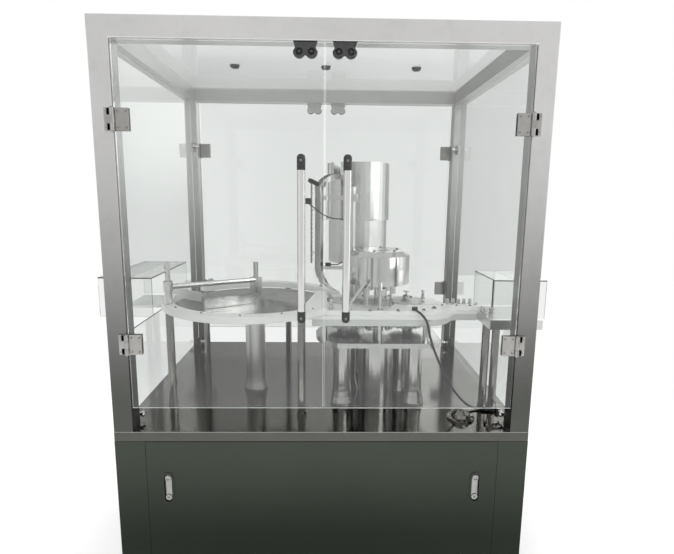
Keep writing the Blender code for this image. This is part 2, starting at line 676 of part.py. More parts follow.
def table():
    """Rotary table on its pedestal, its guard ring in two pieces, and the guides that reach over it."""
    centre = (TABLE_X, behind(TABLE_BACK))
    top = above(TABLE_TOP)
    under = top - TABLE_THICKNESS
    foot = DECK - DECK_THICKNESS - SHAFT_SINK
    disc = turned([(0, top), (TABLE_RADIUS, top), (TABLE_RADIUS, under), (HUB_RADIUS, under),
                   (HUB_RADIUS, under - HUB_DEPTH), (TABLE_SHAFT, under - HUB_DEPTH), (TABLE_SHAFT, foot),
                   (0, foot)], centre, 56)
    node("turntable", disc, POLISHED, (*centre, DECK))
    node("table_pedestal", column(centre, PEDESTAL_RADIUS, PEDESTAL_FOOT_RADIUS, DECK + GAP,
                                  under - HUB_DEPTH - GAP, TABLE_SHAFT + 2 * RUNNING, 24), STEEL)

    ring_low = top + STAR_LIFT
    ring_top = ring_low + RING_THICKNESS
    star = star_centre(-1)
    guide = STAR_PITCH + HALF_LANE
    line = math.degrees(math.atan2(star[1] - centre[1], star[0] - centre[0]))
    edge = arc_through(polar(centre, RING_INNER, COVER_START),
                       (TABLE_X + COVER_BULGE[0], behind(TABLE_BACK) + COVER_BULGE[1]),
                       polar(centre, COVER_TIP_RADIUS, COVER_TIP_ANGLE), 8)
    turn_in = math.degrees(math.acos((star[0] - COVER_END) / guide))
    front_y = behind(PLATES_FRONT)
    front_angle = math.degrees(math.asin((front_y - centre[1]) / RING_OUTER))
    outline = arc(centre, RING_OUTER, RING_OPEN_END - 360, front_angle, 26)
    outline += [(COVER_END, front_y)]
    outline += arc(star, guide, 180 + turn_in, 180 + line, 4)
    outline += arc(centre, RING_INNER - VIAL_RADIUS - HALF_LANE, line, COVER_TIP_ANGLE, 6)[1:]
    outline += edge[::-1]
    outline += arc(centre, RING_INNER, COVER_START, RING_OPEN_END - 360, 22)[1:]
    node("guard_ring_front", prism(outline, ring_low, ring_top), WHITE)
    rear = arc(centre, RING_OUTER, RING_REAR_START, RING_OPEN_START, 20)
    rear += arc(centre, RING_INNER, RING_OPEN_START, RING_REAR_START, 18)
    node("guard_ring_rear", prism(rear, ring_low, ring_top), WHITE)
    table_guides(centre, ring_top + GAP)


def strip(points):
    """Thin upright guide strip over the vial floor."""
    low, high = above(TABLE_TOP) + STAR_LIFT, above(TABLE_TOP) + STRIP_HEIGHT
    half = STRIP_THICKNESS / 2
    return carried([(-half, low), (half, low), (half, high), (-half, high)], [(x, y, 0) for x, y in points])


def table_guides(centre, low):
    """Stepped rod and arm with its curved strip, and the deflector strip at the cover's edge."""
    rod_at = polar(centre, (RING_INNER + RING_OUTER) / 2, RING_COLUMN_ANGLES[0])
    floor = above(TABLE_TOP)
    arm_z = floor + 0.086
    post = turned([(0, low), (0.013, low), (0.013, floor + 0.071), (0.016, floor + 0.071),
                   (0.016, floor + 0.106), (0.009, floor + 0.108), (0.009, floor + 0.166),
                   (0, floor + 0.171)], rod_at, 12)
    hub = (centre[0] + 0.005, centre[1])
    arm = rod((*rod_at, arm_z), (*hub, arm_z), 0.009, 8)
    boss = rod((*hub, floor + 0.038), (*hub, floor + 0.152), 0.0095, 10)
    plate = block((hub[0] - 0.0225, hub[1] - 0.006, floor + 0.016),
                  (hub[0] + 0.0225, hub[1] + 0.006, floor + 0.095))
    curve = arc_through((hub[0] + 0.010, hub[1] - 0.002), (centre[0] - 0.073, centre[1] - 0.068),
                        (centre[0] - 0.157, centre[1] - 0.120), 8)
    node("guide_arm", join(post, arm, boss, plate, strip(curve)), STEEL)

    end = (centre[0] + DEFLECTOR_END[0], centre[1] + DEFLECTOR_END[1])
    bend = arc_through((centre[0] + 0.035, centre[1] - 0.094), (centre[0] + 0.092, centre[1] - 0.135), end, 8)
    tab = block((end[0] - 0.012, end[1] - 0.024, low), (end[0] + 0.012, end[1] + 0.002, low + 0.003))
    node("deflector", join(strip(bend), tab), STEEL)


def press_arm():
    """Inclined press arm on the front guide plate."""
    low = above(TABLE_TOP) + GUIDE_THICKNESS + 2 * GAP
    y = behind(PLATES_FRONT) + 0.019
    base = block((0.074, y - 0.009, low), (0.094, y + 0.009, low + 0.022))
    arm = rod((0.084, y, low + 0.015), (0.142, y, above(0.447)), 0.006, 10)
    node("press_arm", join(base, arm), STEEL)


def side_tables():
    """Infeed plate at the left and folded outfeed tray at the right, both through the side glass."""
    centre = (TABLE_X, behind(TABLE_BACK))
    top = above(TABLE_TOP)
    end = HALF + HOOD_REACH - GAP
    reach = TABLE_RADIUS + TABLE_SEAM
    margin = HOOD_SHEET + 0.001
    front, back = behind(INFEED_PLATE_FRONT), behind(INFEED_WINDOW[1]) - margin
    angles = [180 - math.degrees(math.asin((y - centre[1]) / reach)) for y in (back, front)]
    outline = [(-end, back), (-end, front)] + arc(centre, reach, angles[1], angles[0], 8)
    lead_in = [(-HALF + 0.050, behind(0.462)), (-HALF + 0.110, behind(0.420)), (-HALF + 0.190, behind(0.362))]
    foot = block((lead_in[0][0], lead_in[0][1] - 0.010, top - 0.002),
                 (lead_in[0][0] + 0.024, lead_in[0][1] + 0.004, top + STAR_LIFT + 0.003))
    node("infeed_plate", join(prism(outline, top - INFEED_THICKNESS, top), foot, strip(lead_in)), GREY)

    front, back = behind(OUTFEED_WINDOW[0]) + margin, behind(OUTFEED_WINDOW[1]) - margin
    sheet = TRAY_SHEET
    start = TAIL_END + GAP
    tray = cut(block((start, front, top - TRAY_SKIRT), (end, back, top)),
               block((start + sheet, front + sheet, DECK), (end - sheet, back - sheet, top - sheet)))
    node("outfeed_tray", tray, STEEL)


def slim_columns():
    """Slim columns on the deck under the guard ring, the infeed plate and the outfeed tray."""
    centre = (TABLE_X, behind(TABLE_BACK))
    middle = (RING_INNER + RING_OUTER) / 2
    top = above(TABLE_TOP)
    shapes = [slim_column(polar(centre, middle, angle), SLIM_RADIUS, top + STAR_LIFT - GAP)
              for angle in RING_COLUMN_ANGLES]
    shapes += [slim_column((x, behind(TRAY_COLUMN_BACK)), TRAY_COLUMN_RADIUS, top - TRAY_SHEET - GAP)
               for x in TRAY_COLUMNS]
    shapes.append(slim_column((INFEED_COLUMN[0], behind(INFEED_COLUMN[1])), SLIM_RADIUS,
                              top - INFEED_THICKNESS - GAP))
    return shapes


def slim_column(place, radius, top):
    """Plain round column with a short stepped foot."""
    low = DECK - 0.002
    return turned([(0, low), (radius + 0.003, low), (radius + 0.003, DECK + 0.012), (radius, DECK + 0.014),
                   (radius, top), (0, top)], place, 12)


def station_stand():
    """Gear plate on flared columns and the turret's thick pedestal, with spacers for the plates above."""
    low = DECK + GAP
    bottom = above(LOWER_PLATE_BOTTOM)
    top = bottom + LOWER_PLATE_THICKNESS
    left_end = arc_through((0.045, behind(0.452)), (-0.030, behind(0.300)), (0.045, behind(PLATES_FRONT)), 14)
    right = rounded((0.100, behind(PLATES_FRONT)), (0.410, behind(0.452)), 0.045, 4)[:10]
    plate = prism(left_end + right, bottom, top)
    seat = bottom + 0.002
    shapes = [column((x, behind(distance)), STATION_COLUMN_RADIUS, STATION_FOOT_RADIUS, low, seat)
              for x, distance in STATION_COLUMNS]
    middle = (TURRET_X, behind(TURRET_BACK))
    shapes.append(rod((*middle, low), (*middle, seat), CENTRE_RADIUS, 28))
    under = above(TABLE_TOP) - TOP_PLATE_THICKNESS - UNDER_PLATE_THICKNESS - GAP
    for x, distance in SPACERS:
        shapes.append(rod((x, behind(distance), top - 0.002), (x, behind(distance), under), 0.009, 12))
    clear = SHAFT_RADIUS + 2 * RUNNING
    bores = [rod((*star_centre(side), bottom - 0.001), (*star_centre(side), top + 0.001), clear, 16)
             for side in (-1, 1)]
    bores.append(rod((*middle, DECK - 0.001), (*middle, top + 0.001), clear, 16))
    node("station_stand", cut(join(plate, *shapes), *bores), STEEL)


def star_centre(side):
    """Centre of the turret's star (0) or of the infeed (-1) or outfeed (1) star beside it."""
    across = math.sqrt((2 * STAR_PITCH) ** 2 - STAR_DROP ** 2)
    return (TURRET_X + side * across, behind(TURRET_BACK) + abs(side) * STAR_DROP)


def line_angle(side):
    """Direction in degrees from the turret's centre to a side star's centre."""
    star = star_centre(side)
    return math.degrees(math.atan2(star[1] - behind(TURRET_BACK), star[0] - TURRET_X)) % 360


def meshed_phase(side, phase, pitch, shift):
    """Phase of a side wheel whose pitch marks meet the turret's; shift is half a pitch for teeth."""
    return line_angle(side) + 180 - (phase - line_angle(side)) % pitch + shift


def star_outline(centre, phase):
    """Star wheel: a round pocket for each vial, and short arcs of its tip circle between them."""
    tip, pocket = STAR_PITCH - 0.0015, VIAL_RADIUS + 0.0003
    half = math.degrees(math.acos((tip ** 2 + STAR_PITCH ** 2 - pocket ** 2) / (2 * tip * STAR_PITCH)))
    outline = []
    for i in range(STAR_POCKETS):
        middle = phase + 360 * i / STAR_POCKETS
        seat = polar(centre, STAR_PITCH, middle)
        edge = polar(centre, tip, middle - half)
        start = math.degrees(math.atan2(edge[1] - seat[1], edge[0] - seat[0])) - middle
        outline += arc(seat, pocket, middle + start % 360, middle + 360 - start % 360, 6)
        outline += arc(centre, tip, middle + half, middle + 360 / STAR_POCKETS - half, 3)[1:-1]
    return outline


def gear_outline(centre, phase):
    """Spur gear with involute flanks at a 20 degree pressure angle and a little backlash."""
    module = 2 * STAR_PITCH / GEAR_TEETH
    base = STAR_PITCH * math.cos(math.radians(20))
    radii = (STAR_PITCH - 1.15 * module, STAR_PITCH, STAR_PITCH + 0.85 * module)
    backlash = 0.0004 / STAR_PITCH

    def half_angle(radius):
        pressure = math.acos(min(1.0, base / radius))
        pitch_pressure = math.radians(20)
        return (math.pi / 2 / GEAR_TEETH - backlash + math.tan(pitch_pressure) - pitch_pressure
                - math.tan(pressure) + pressure)

    outline = []
    for i in range(GEAR_TEETH):
        middle = phase + 360 * i / GEAR_TEETH
        for side, order in ((-1, radii), (1, radii[::-1])):
            for radius in order:
                outline.append(polar(centre, radius, middle + side * math.degrees(half_angle(radius))))
    return outline


def plate_outline(inset):
    """Station plate: hollow left end round the table, S-curve at the front right, and its tail."""
    table_centre = (TABLE_X, behind(TABLE_BACK))
    reach = TABLE_RADIUS + TABLE_SEAM + inset
    front, back = behind(PLATES_FRONT) + inset, behind(PLATES_BACK) - inset
    low, high = [math.degrees(math.asin((y - table_centre[1]) / reach)) for y in (front, back)]
    outline = arc(table_centre, reach, high, low, 9)
    outline += arc_through((0.375 - inset, front), (0.428 - inset, behind(0.200) + inset),
                              (0.453 - inset, behind(TAIL_FRONT) - 0.012 + inset), 5)
    outline += [(0.469, behind(TAIL_FRONT) + inset), (TAIL_END, behind(TAIL_FRONT) + inset),
                (TAIL_END, behind(TAIL_BACK) - inset)]
    outline += [(0.440 - inset, behind(TAIL_BACK) - inset), (0.424 - inset, behind(0.390))]
    outline += [(0.370, behind(0.418) - inset), (0.300, behind(0.436) - inset), (0.170, back)]
    return outline


def station_plates():
    """Grey plate and white top plate over the gears, with the three shaft holes and the cable bracket."""
    shafts = [star_centre(side) for side in (-1, 0, 1)]
    top = above(TABLE_TOP)
    middle = top - TOP_PLATE_THICKNESS
    bottom = middle - UNDER_PLATE_THICKNESS
    front = behind(PLATES_FRONT) + PLATE_STEP
    bracket = block((0.345, front - 0.021, above(0.262)), (0.359, front + 0.002, bottom + 0.020))
    under = join(prism(plate_outline(PLATE_STEP), bottom, middle - GAP), bracket)
    node("under_plate", cut(under, *shaft_holes(shafts, bottom, middle)), GREY)
    node("top_plate", cut(prism(plate_outline(0), middle, top), *shaft_holes(shafts, middle, top)), WHITE)
    vial_guides(top + GAP)


def shaft_holes(places, low, high):
    return [rod((*place, low - 0.001), (*place, high + 0.001), SHAFT_RADIUS + 0.002, 16) for place in places]


def vial_guides(low):
    """Two white guide plates that hold the vials in the stars and out along the tail."""
    guide = STAR_PITCH + HALF_LANE
    infeed, turret, outfeed = (star_centre(side) for side in (-1, 0, 1))
    lean = math.degrees(math.acos(STAR_PITCH / guide))
    to_infeed, to_outfeed = line_angle(-1), line_angle(1)
    turn_in = math.degrees(math.acos((infeed[0] - COVER_END) / guide))
    lane = outfeed[1] - STAR_PITCH
    front = behind(PLATES_FRONT) + 0.005

    outline = arc(infeed, guide, 180 + turn_in, to_infeed + 180 - lean, 8)
    outline = [(COVER_END + GAP, front), (COVER_END + GAP, outline[0][1] - GAP)] + outline[1:]
    outline += arc(turret, guide, to_infeed + lean, 360 + to_outfeed - lean, 10)
    outline += arc(outfeed, guide, to_outfeed + 180 + lean, 270, 3)
    outline += [(TAIL_END, lane - HALF_LANE), (TAIL_END, lane - HALF_LANE - RAIL_WIDTH),
                (0.466, lane - HALF_LANE - RAIL_WIDTH)]
    outline += arc_through((0.440, behind(0.240)), (0.420, behind(0.205)), (0.368, front), 4)
    high = low + GUIDE_THICKNESS
    pin = turned([(0, high - 0.002), (0.010, high - 0.002), (0.010, high + 0.004), (0.006, high + 0.006),
                  (0.006, above(0.446)), (0, above(0.446))], (TURRET_X, behind(PLATES_FRONT) + 0.016), 10)
    node("front_guide", join(prism(outline[::-1], low, high), pin), WHITE)

    table_centre = (TABLE_X, behind(TABLE_BACK))
    reach = math.dist(table_centre, infeed)
    meet = math.degrees(math.acos((RING_INNER ** 2 + reach ** 2 - guide ** 2) / (2 * RING_INNER * reach)))
    line = math.degrees(math.atan2(infeed[1] - table_centre[1], infeed[0] - table_centre[0]))
    start = RING_REAR_START - math.degrees(GAP / RING_INNER)
    corner = polar(table_centre, RING_INNER, line + meet)
    corner_angle = math.degrees(math.atan2(corner[1] - infeed[1], corner[0] - infeed[0]))
    outline = [polar(table_centre, RING_OUTER, start)]
    outline += arc(table_centre, RING_INNER, start, line + meet, 4)
    outline += arc(infeed, guide, corner_angle, to_infeed - 180 + lean, 7)[1:]
    outline += arc(turret, guide, to_infeed - lean, to_outfeed + lean, 8)
    outline += arc(outfeed, guide, to_outfeed + 180 - lean, -math.degrees(math.asin(
        (STAR_PITCH - HALF_LANE) / guide)), 10)
    outline += [(TAIL_END, lane + HALF_LANE), (TAIL_END, lane + HALF_LANE + RAIL_WIDTH),
                (outfeed[0] + 0.1276, lane + HALF_LANE + RAIL_WIDTH),
                (outfeed[0] + 0.1096, turret[1] + 0.078), (outfeed[0] + 0.0636, turret[1] + 0.101),
                (outfeed[0] - 0.0024, turret[1] + 0.119), (infeed[0] + 0.0824, turret[1] + 0.129)]
    node("rear_guide", prism(outline, low, high), WHITE)


def stars():
    """Side stars: wheel, gear, shaft and knob in one, turning against the turret."""
    pitch, tooth = 360 / STAR_POCKETS, 360 / GEAR_TEETH
    bottom = above(LOWER_PLATE_BOTTOM)
    for side, name in ((-1, "infeed_star"), (1, "outfeed_star")):
        centre = star_centre(side)
        wheel = prism(star_outline(centre, meshed_phase(side, line_angle(-1), pitch, 0)),
                      above(STAR_BOTTOM), above(STAR_BOTTOM) + STAR_THICKNESS)
        gear = prism(gear_outline(centre, meshed_phase(side, line_angle(-1), tooth, tooth / 2)),
                     above(GEAR_BOTTOM), above(GEAR_BOTTOM) + GEAR_THICKNESS)
        seat = above(STAR_BOTTOM) + STAR_THICKNESS
        shaft = turned([(0, bottom), (SHAFT_RADIUS, bottom), (SHAFT_RADIUS, seat - 0.002),
                        (0.018, seat - 0.002), (0.018, seat + 0.006), (0.012, seat + 0.008),
                        (0.012, seat + 0.019), (0.009, seat + 0.022), (0, seat + 0.022)], centre, 12)
        node(name, join(wheel, gear, shaft), STEEL, (*centre, DECK))


def turret():
    """Turret: shaft with its gear, star, spindle carrier and bell, round a fixed friction ring."""
    centre = (TURRET_X, behind(TURRET_BACK))
    axis = (*centre, DECK)
    phase = line_angle(-1)
    bore = rod((*centre, DECK), (*centre, DECK + 1), SHAFT_RADIUS + GAP, 24)
    star = prism(star_outline(centre, phase), above(STAR_BOTTOM), above(STAR_BOTTOM) + STAR_THICKNESS)
    node("turret_star", cut(star, bore), STEEL, axis)

    seats = [polar(centre, SPINDLE_RADIUS, phase + 360 * i / STAR_POCKETS) for i in range(STAR_POCKETS)]
    carrier = above(CARRIER_BOTTOM)
    bell_inside = above(BELL_TOP) - BELL_WALL
    foot = DECK - DECK_THICKNESS - SHAFT_SINK
    shaft = turned([(0, foot), (SHAFT_RADIUS, foot), (SHAFT_RADIUS, carrier - 0.012),
                    (0.018, carrier - 0.012), (0.018, carrier), (CARRIER_RADIUS, carrier),
                    (CARRIER_RADIUS, carrier + CARRIER_THICKNESS),
                    (SHAFT_RADIUS, carrier + CARRIER_THICKNESS), (SHAFT_RADIUS, bell_inside - GAP),
                    (0, bell_inside - GAP)], centre, 24)
    gear = prism(gear_outline(centre, phase), above(GEAR_BOTTOM), above(GEAR_BOTTOM) + GEAR_THICKNESS)
    stems = [rod((*seat, DECK), (*seat, DECK + 1), SPINDLE_STEM + RUNNING, 12) for seat in seats]
    node("turret_shaft", join(cut(shaft, *stems), gear), STEEL, axis)

    top, shoulder, rim = above(BELL_TOP), above(BELL_SHOULDER), above(BELL_BOTTOM)
    bell = turned([(0, top), (BELL_TOP_RADIUS, top), (BELL_RADIUS, shoulder), (BELL_RADIUS, rim),
                   (BELL_RADIUS - BELL_WALL, rim), (BELL_RADIUS - BELL_WALL, shoulder - 0.002),
                   (BELL_TOP_RADIUS - 0.003, bell_inside), (0, bell_inside)], centre, 44)
    node("turret_bell", bell, POLISHED, axis)

    for i, seat in enumerate(seats):
        chuck, collar = above(CHUCK_BOTTOM), above(ROLLER_BOTTOM)
        spindle = turned([(0, chuck + 0.006), (0.007, chuck + 0.006), (0.007, chuck), (CHUCK_RADIUS, chuck),
                          (CHUCK_RADIUS, chuck + 0.026), (SPINDLE_STEM, chuck + 0.034),
                          (SPINDLE_STEM, collar),
                          (ROLLER_RADIUS, collar), (ROLLER_RADIUS, collar + ROLLER_THICKNESS),
                          (SPINDLE_STEM, collar + ROLLER_THICKNESS), (SPINDLE_STEM, collar + 0.030),
                          (0, collar + 0.030)], seat, 12)
        node("spindle_%d" % (i + 1), spindle, STEEL, (*seat, DECK))

    inner = SPINDLE_RADIUS + ROLLER_RADIUS + RUNNING
    low, high = above(ROLLER_BOTTOM), above(ROLLER_BOTTOM) + ROLLER_THICKNESS
    ring = turned([(inner, low), (inner + FRICTION_RING_WALL, low), (inner + FRICTION_RING_WALL, high),
                   (inner, high)], centre, 44, ring=True)
    stand = above(TABLE_TOP) + GUIDE_THICKNESS + 2 * GAP
    posts = []
    for angle in (60, 120, 240, 300):
        place = polar(centre, inner + FRICTION_RING_WALL / 2, angle)
        posts.append(rod((*place, stand), (*place, (low + high) / 2), 0.004, 8))
    node("friction_ring", join(ring, *posts), DARK_STEEL)


def cap_feed():
    """Vibratory bowl with its inner spiral track, on a drive housing and a flared stem."""
    centre = (BOWL_X, behind(BOWL_BACK))
    low = DECK + GAP
    land, flare = 0.006, STATION_FOOT_RADIUS
    drive = turned([(0, low), (flare + 0.006, low), (flare + 0.006, low + land),
                    (DRIVE_STEM_RADIUS, low + FLARE), (DRIVE_STEM_RADIUS, above(DRIVE_BOTTOM)),
                    (DRIVE_RADIUS, above(DRIVE_BOTTOM)),
                    (DRIVE_RADIUS, above(BOWL_BOTTOM) - GAP), (0, above(BOWL_BOTTOM) - GAP)], centre, 36)
    node("bowl_drive", drive, STEEL)

    bottom, top = above(BOWL_BOTTOM), above(BOWL_TOP)
    floor = bottom + 0.006
    inner = BOWL_RADIUS - BOWL_WALL
    shell = turned([(0, bottom), (BOWL_RADIUS, bottom), (BOWL_RADIUS, top), (inner, top), (inner, floor),
                    (0, floor + 0.010)], centre, 40)
    outlet = arc(centre, BOWL_RADIUS + 0.020, OUTLET_ANGLE - 8, OUTLET_ANGLE + 8, 2)
    outlet += arc(centre, inner - 0.012, OUTLET_ANGLE + 8, OUTLET_ANGLE - 8, 2)
    window = prism(outlet, top - OUTLET_DEPTH, top + 0.020)
    steps = round(40 * BOWL_TRACK_TURNS)
    reach = inner + BOWL_WALL / 2
    rise = top - OUTLET_DEPTH - 0.006 - (floor + 0.004)
    path = []
    for i in range(steps + 1):
        angle = math.radians(OUTLET_ANGLE - 9 - 360 * BOWL_TRACK_TURNS * (1 - i / steps))
        path.append((centre[0] + reach * math.cos(angle), centre[1] + reach * math.sin(angle),
                     floor + 0.004 + rise * i / steps))

    def towards_middle(point):
        return Vector((centre[0] - point.x, centre[1] - point.y, 0)).normalized()

    half = BOWL_TRACK_THICKNESS / 2
    track = carried([(0, -half), (BOWL_TRACK_WIDTH, -half), (BOWL_TRACK_WIDTH, half), (0, half)],
                    path, towards_middle)
    node("cap_bowl", join(cut(shell, window), track), POLISHED)
    chute(centre)


def smooth_path(points, count):
    """Evenly read points on a Catmull-Rom curve through the given ones."""
    knots = np.array([points[0]] + list(points) + [points[-1]], float)
    dense = []
    for a, b, c, d in zip(knots, knots[1:], knots[2:], knots[3:]):
        for t in np.linspace(0, 1, 24, endpoint=False):
            dense.append(0.5 * (2 * b + (c - a) * t + (2 * a - 5 * b + 4 * c - d) * t ** 2
                                + (3 * b - a - 3 * c + d) * t ** 3))
    dense = np.array(dense + [knots[-1]])
    length = np.concatenate(([0], np.cumsum(np.linalg.norm(np.diff(dense, axis=0), axis=1))))
    places = np.linspace(0, length[-1], count)
    return np.stack([np.interp(places, length, dense[:, i]) for i in range(3)], 1)


def chute(bowl):
    """Cap chute from the bowl down to the infeed star, with the rod, brackets and sensors that hold it."""
    outlet = above(BOWL_TOP) - OUTLET_DEPTH - 0.008
    start = polar(bowl, BOWL_RADIUS + 0.004, OUTLET_ANGLE)
    back = behind(CHUTE_BACK)
    route = [(*start, outlet), (0.008, back + 0.026, outlet - 0.010), (CHUTE_X, back + 0.003, outlet - 0.040),
             (CHUTE_X, back, outlet - 0.070), (CHUTE_X, back, above(0.680)), (CHUTE_X, back, above(0.600)),
             (CHUTE_X, back, above(0.500)), (CHUTE_X, back, above(0.450)),
             (CHUTE_X + 0.010, back - 0.012, above(0.420)), (CHUTE_X + 0.032, back - 0.032, above(0.398)),
             (CHUTE_X + 0.054, back - 0.052, above(0.388))]
    wide, deep, wall = CHUTE_WIDTH / 2, CHUTE_DEPTH / 2, CHUTE_WALL
    section = [(-wide, -deep), (wide, -deep), (wide, deep), (wide - wall, deep), (wide - wall, wall - deep),
               (wall - wide, wall - deep), (wall - wide, deep), (-wide, deep)]

    def sideways(point):
        return Vector((-CHUTE_TURN[1], CHUTE_TURN[0], 0))

    corner = (CHUTE_X - wide * CHUTE_TURN[1] - deep * CHUTE_TURN[0],
              back + wide * CHUTE_TURN[0] - deep * CHUTE_TURN[1])
    side_rod = (CHUTE_X - 0.029, corner[1] - THIN_ROD)
    rods = [rod((*side_rod, above(0.480)), (*side_rod, above(0.790)), THIN_ROD, 8)]
    for height in (0.520, 0.680):
        rods.append(rod((*side_rod, above(height)), (corner[0] + wall, side_rod[1], above(height)),
                        THIN_ROD, 8))
    node("cap_chute", join(carried(section, smooth_path(route, 20), sideways), *rods), STEEL)
    chute_support()
    sensors((CHUTE_ROD_X, behind(CHUTE_ROD_BACK)), side_rod)


def chute_support():
    """Rod behind the turret with its clamp, the two bars to the chute's flat back, and a clear sight rod."""
    place = (CHUTE_ROD_X, behind(CHUTE_ROD_BACK))
    foot = above(TABLE_TOP) + GUIDE_THICKNESS + 2 * GAP
    radius = CHUTE_ROD_RADIUS
    mast = turned([(0, foot), (radius + 0.006, foot), (radius + 0.006, foot + 0.010), (radius, foot + 0.012),
                   (radius, above(0.762)), (radius - 0.003, above(0.765)), (0, above(0.765))], place, 14)
    clamp = block((place[0] - 0.019, place[1] - 0.019, above(0.712)),
                  (place[0] + 0.019, place[1] + 0.019, above(0.738)))
    half = 0.006
    bars = []
    for low, high in ((0.716, 0.732), (SHELF - 0.012, SHELF)):
        edges = (place[1] - half, place[1] + half)
        ends = [CHUTE_X + (CHUTE_DEPTH / 2 + GAP - CHUTE_TURN[1] * (y - behind(CHUTE_BACK))) / CHUTE_TURN[0]
                for y in edges]
        outline = [(ends[0], edges[0]), (place[0], edges[0]), (place[0], edges[1]), (ends[1], edges[1])]
        bars.append(prism(outline, above(low), above(high)))
    sight = (CHUTE_X + 0.027, place[1] - half - THIN_ROD + 0.001)
    sight_rod = rod((*sight, above(0.642)), (*sight, above(0.780)), THIN_ROD, 8)
    node("chute_support", join(mast, clamp, *bars, sight_rod), STEEL)


def sensors(mast, side_rod):
    """Cap sensors on the chute and the probe on the front guide, each with its lead."""
    low, edge = above(0.700), side_rod[0] - THIN_ROD - GAP
    node("upper_cap_sensor", edged_block((edge - 0.019, side_rod[1] - 0.010, low),
                                         (edge, side_rod[1] + 0.010, low + 0.022), 0.001), BLACK)
    shelf = above(SHELF) + GAP
    node("lower_cap_sensor", edged_block((0.002, mast[1] - 0.010, shelf),
                                         (0.024, mast[1] + 0.008, shelf + 0.013), 0.001), BLACK)
    stand = above(TABLE_TOP) + GUIDE_THICKNESS + 2 * GAP
    front = behind(PLATES_FRONT) + PLATE_STEP
    node("probe", edged_block((0.298, front, stand), (0.316, front + 0.015, stand + 0.012), 0.001), BLACK)

    surface = CHUTE_ROD_RADIUS + GAP
    start = side_rod[1] - 0.010 - RUNNING
    lead("upper_sensor_lead", [
        (edge - 0.010, start, above(0.706)), (edge - 0.010, start - 0.010, above(0.705)),
        (-0.034, behind(0.366), above(0.684)), (-0.008, behind(0.368), above(0.664)),
        (0.026, behind(0.386), above(0.650)), (0.060, behind(0.400), above(0.646)),
        (mast[0] - surface, mast[1] - 0.003, above(0.645))], 0.002, 24)
    lead("lower_sensor_lead", [
        (0.024 + RUNNING, mast[1] - 0.002, shelf + 0.006), (0.032, mast[1] - 0.002, shelf + 0.006),
        (0.052, mast[1] - 0.016, shelf + 0.010), (0.074, mast[1] - 0.014, shelf + 0.024),
        (mast[0] - surface, mast[1] - 0.003, shelf + 0.032)], 0.002, 14)
    lead("probe_lead", [
        (0.307, front - 0.0012, stand + 0.006), (0.307, front - 0.012, stand + 0.006),
        (0.324, front - 0.022, above(0.345)), (0.344, front - 0.027, above(0.318)),
        (0.354, front - 0.027, above(0.275)), (0.376, front - 0.020, above(0.212)),
        (0.420, front - 0.006, above(0.120)), (0.468, front, above(0.048)),
        (0.510, front - 0.004, above(0.012)), (FLANGE_X - 0.007, front - 0.010, above(LEAD_RADIUS) + GAP),
        (LEAD_GLAND_X - 0.024, behind(LEAD_GLAND_BACK), above(LEAD_RADIUS) + GAP),
        (LEAD_GLAND_X - LEAD_GLAND_RADIUS - GAP, behind(LEAD_GLAND_BACK), above(LEAD_RADIUS) + GAP)],
        LEAD_RADIUS, 34)


def lead(name, points, radius, count):
    """Cable of one radius on a smooth route that never sinks into the deck, its ends closed."""
    curve = bpy.data.curves.new(name, "CURVE")
    curve.dimensions = "3D"
    curve.bevel_depth = radius
    curve.bevel_resolution = 2
    curve.use_fill_caps = True
    route = smooth_path(points, count)
    route[:, 2] = np.maximum(route[:, 2], DECK + radius + 2 * GAP)
    spline = curve.splines.new("POLY")
    spline.points.add(len(route) - 1)
    spline.points.foreach_set("co", np.c_[route, np.ones(len(route))].ravel())
    curve.materials.append(finish_of(BLACK))
    bpy.context.scene.collection.objects.link(bpy.data.objects.new(name, curve))


clear_scene()
cabinet()
deck()
drive_unit()
enclosure()
side_glass()
doors()
table()
side_tables()
station_stand()
station_plates()
stars()
turret()
press_arm()
cap_feed()
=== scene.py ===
import math

import bpy
import numpy as np
from mathutils import Matrix, Vector


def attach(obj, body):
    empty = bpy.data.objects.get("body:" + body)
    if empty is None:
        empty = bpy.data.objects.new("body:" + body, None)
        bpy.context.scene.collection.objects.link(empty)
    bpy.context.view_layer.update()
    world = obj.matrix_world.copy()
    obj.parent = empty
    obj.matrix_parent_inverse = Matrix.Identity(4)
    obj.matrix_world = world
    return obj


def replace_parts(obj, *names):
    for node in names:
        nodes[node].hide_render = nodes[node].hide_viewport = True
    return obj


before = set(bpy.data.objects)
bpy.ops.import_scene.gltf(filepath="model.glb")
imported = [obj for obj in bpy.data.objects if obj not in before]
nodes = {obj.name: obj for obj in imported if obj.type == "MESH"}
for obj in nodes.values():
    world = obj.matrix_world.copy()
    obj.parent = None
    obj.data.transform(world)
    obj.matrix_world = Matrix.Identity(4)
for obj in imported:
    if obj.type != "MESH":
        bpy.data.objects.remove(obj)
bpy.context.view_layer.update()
frontFace = -0.459  # front faces of the front posts
rearFace = 0.491  # rear faces of the rear posts

# camera fitted to the frame's straight edges, angles in radians
camera = {"lens": 25.79, "place": (0.0101, -1.8719, 1.4286), "yaw": 0.0204, "pitch": 0.1651, "roll": 0.0101}


def makeCamera():
    data = bpy.data.cameras.new("camera")
    data.sensor_width = 36
    data.lens = camera["lens"]
    data.clip_start = 0.05
    item = bpy.data.objects.new("camera", data)
    turn = (Matrix.Rotation(-camera["yaw"], 4, "Z") @ Matrix.Rotation(math.pi / 2 - camera["pitch"], 4, "X")
            @ Matrix.Rotation(camera["roll"], 4, "Z"))
    item.matrix_world = Matrix.Translation(camera["place"]) @ turn
    bpy.context.scene.collection.objects.link(item)
    bpy.context.scene.camera = item


makeCamera()
print("camera placed")


# node helpers: a tree's nodes are linked by socket name
def addNode(tree, kind, **values):
    made = tree.nodes.new(kind)
    for key, value in values.items():
        setattr(made, key, value)
    return made


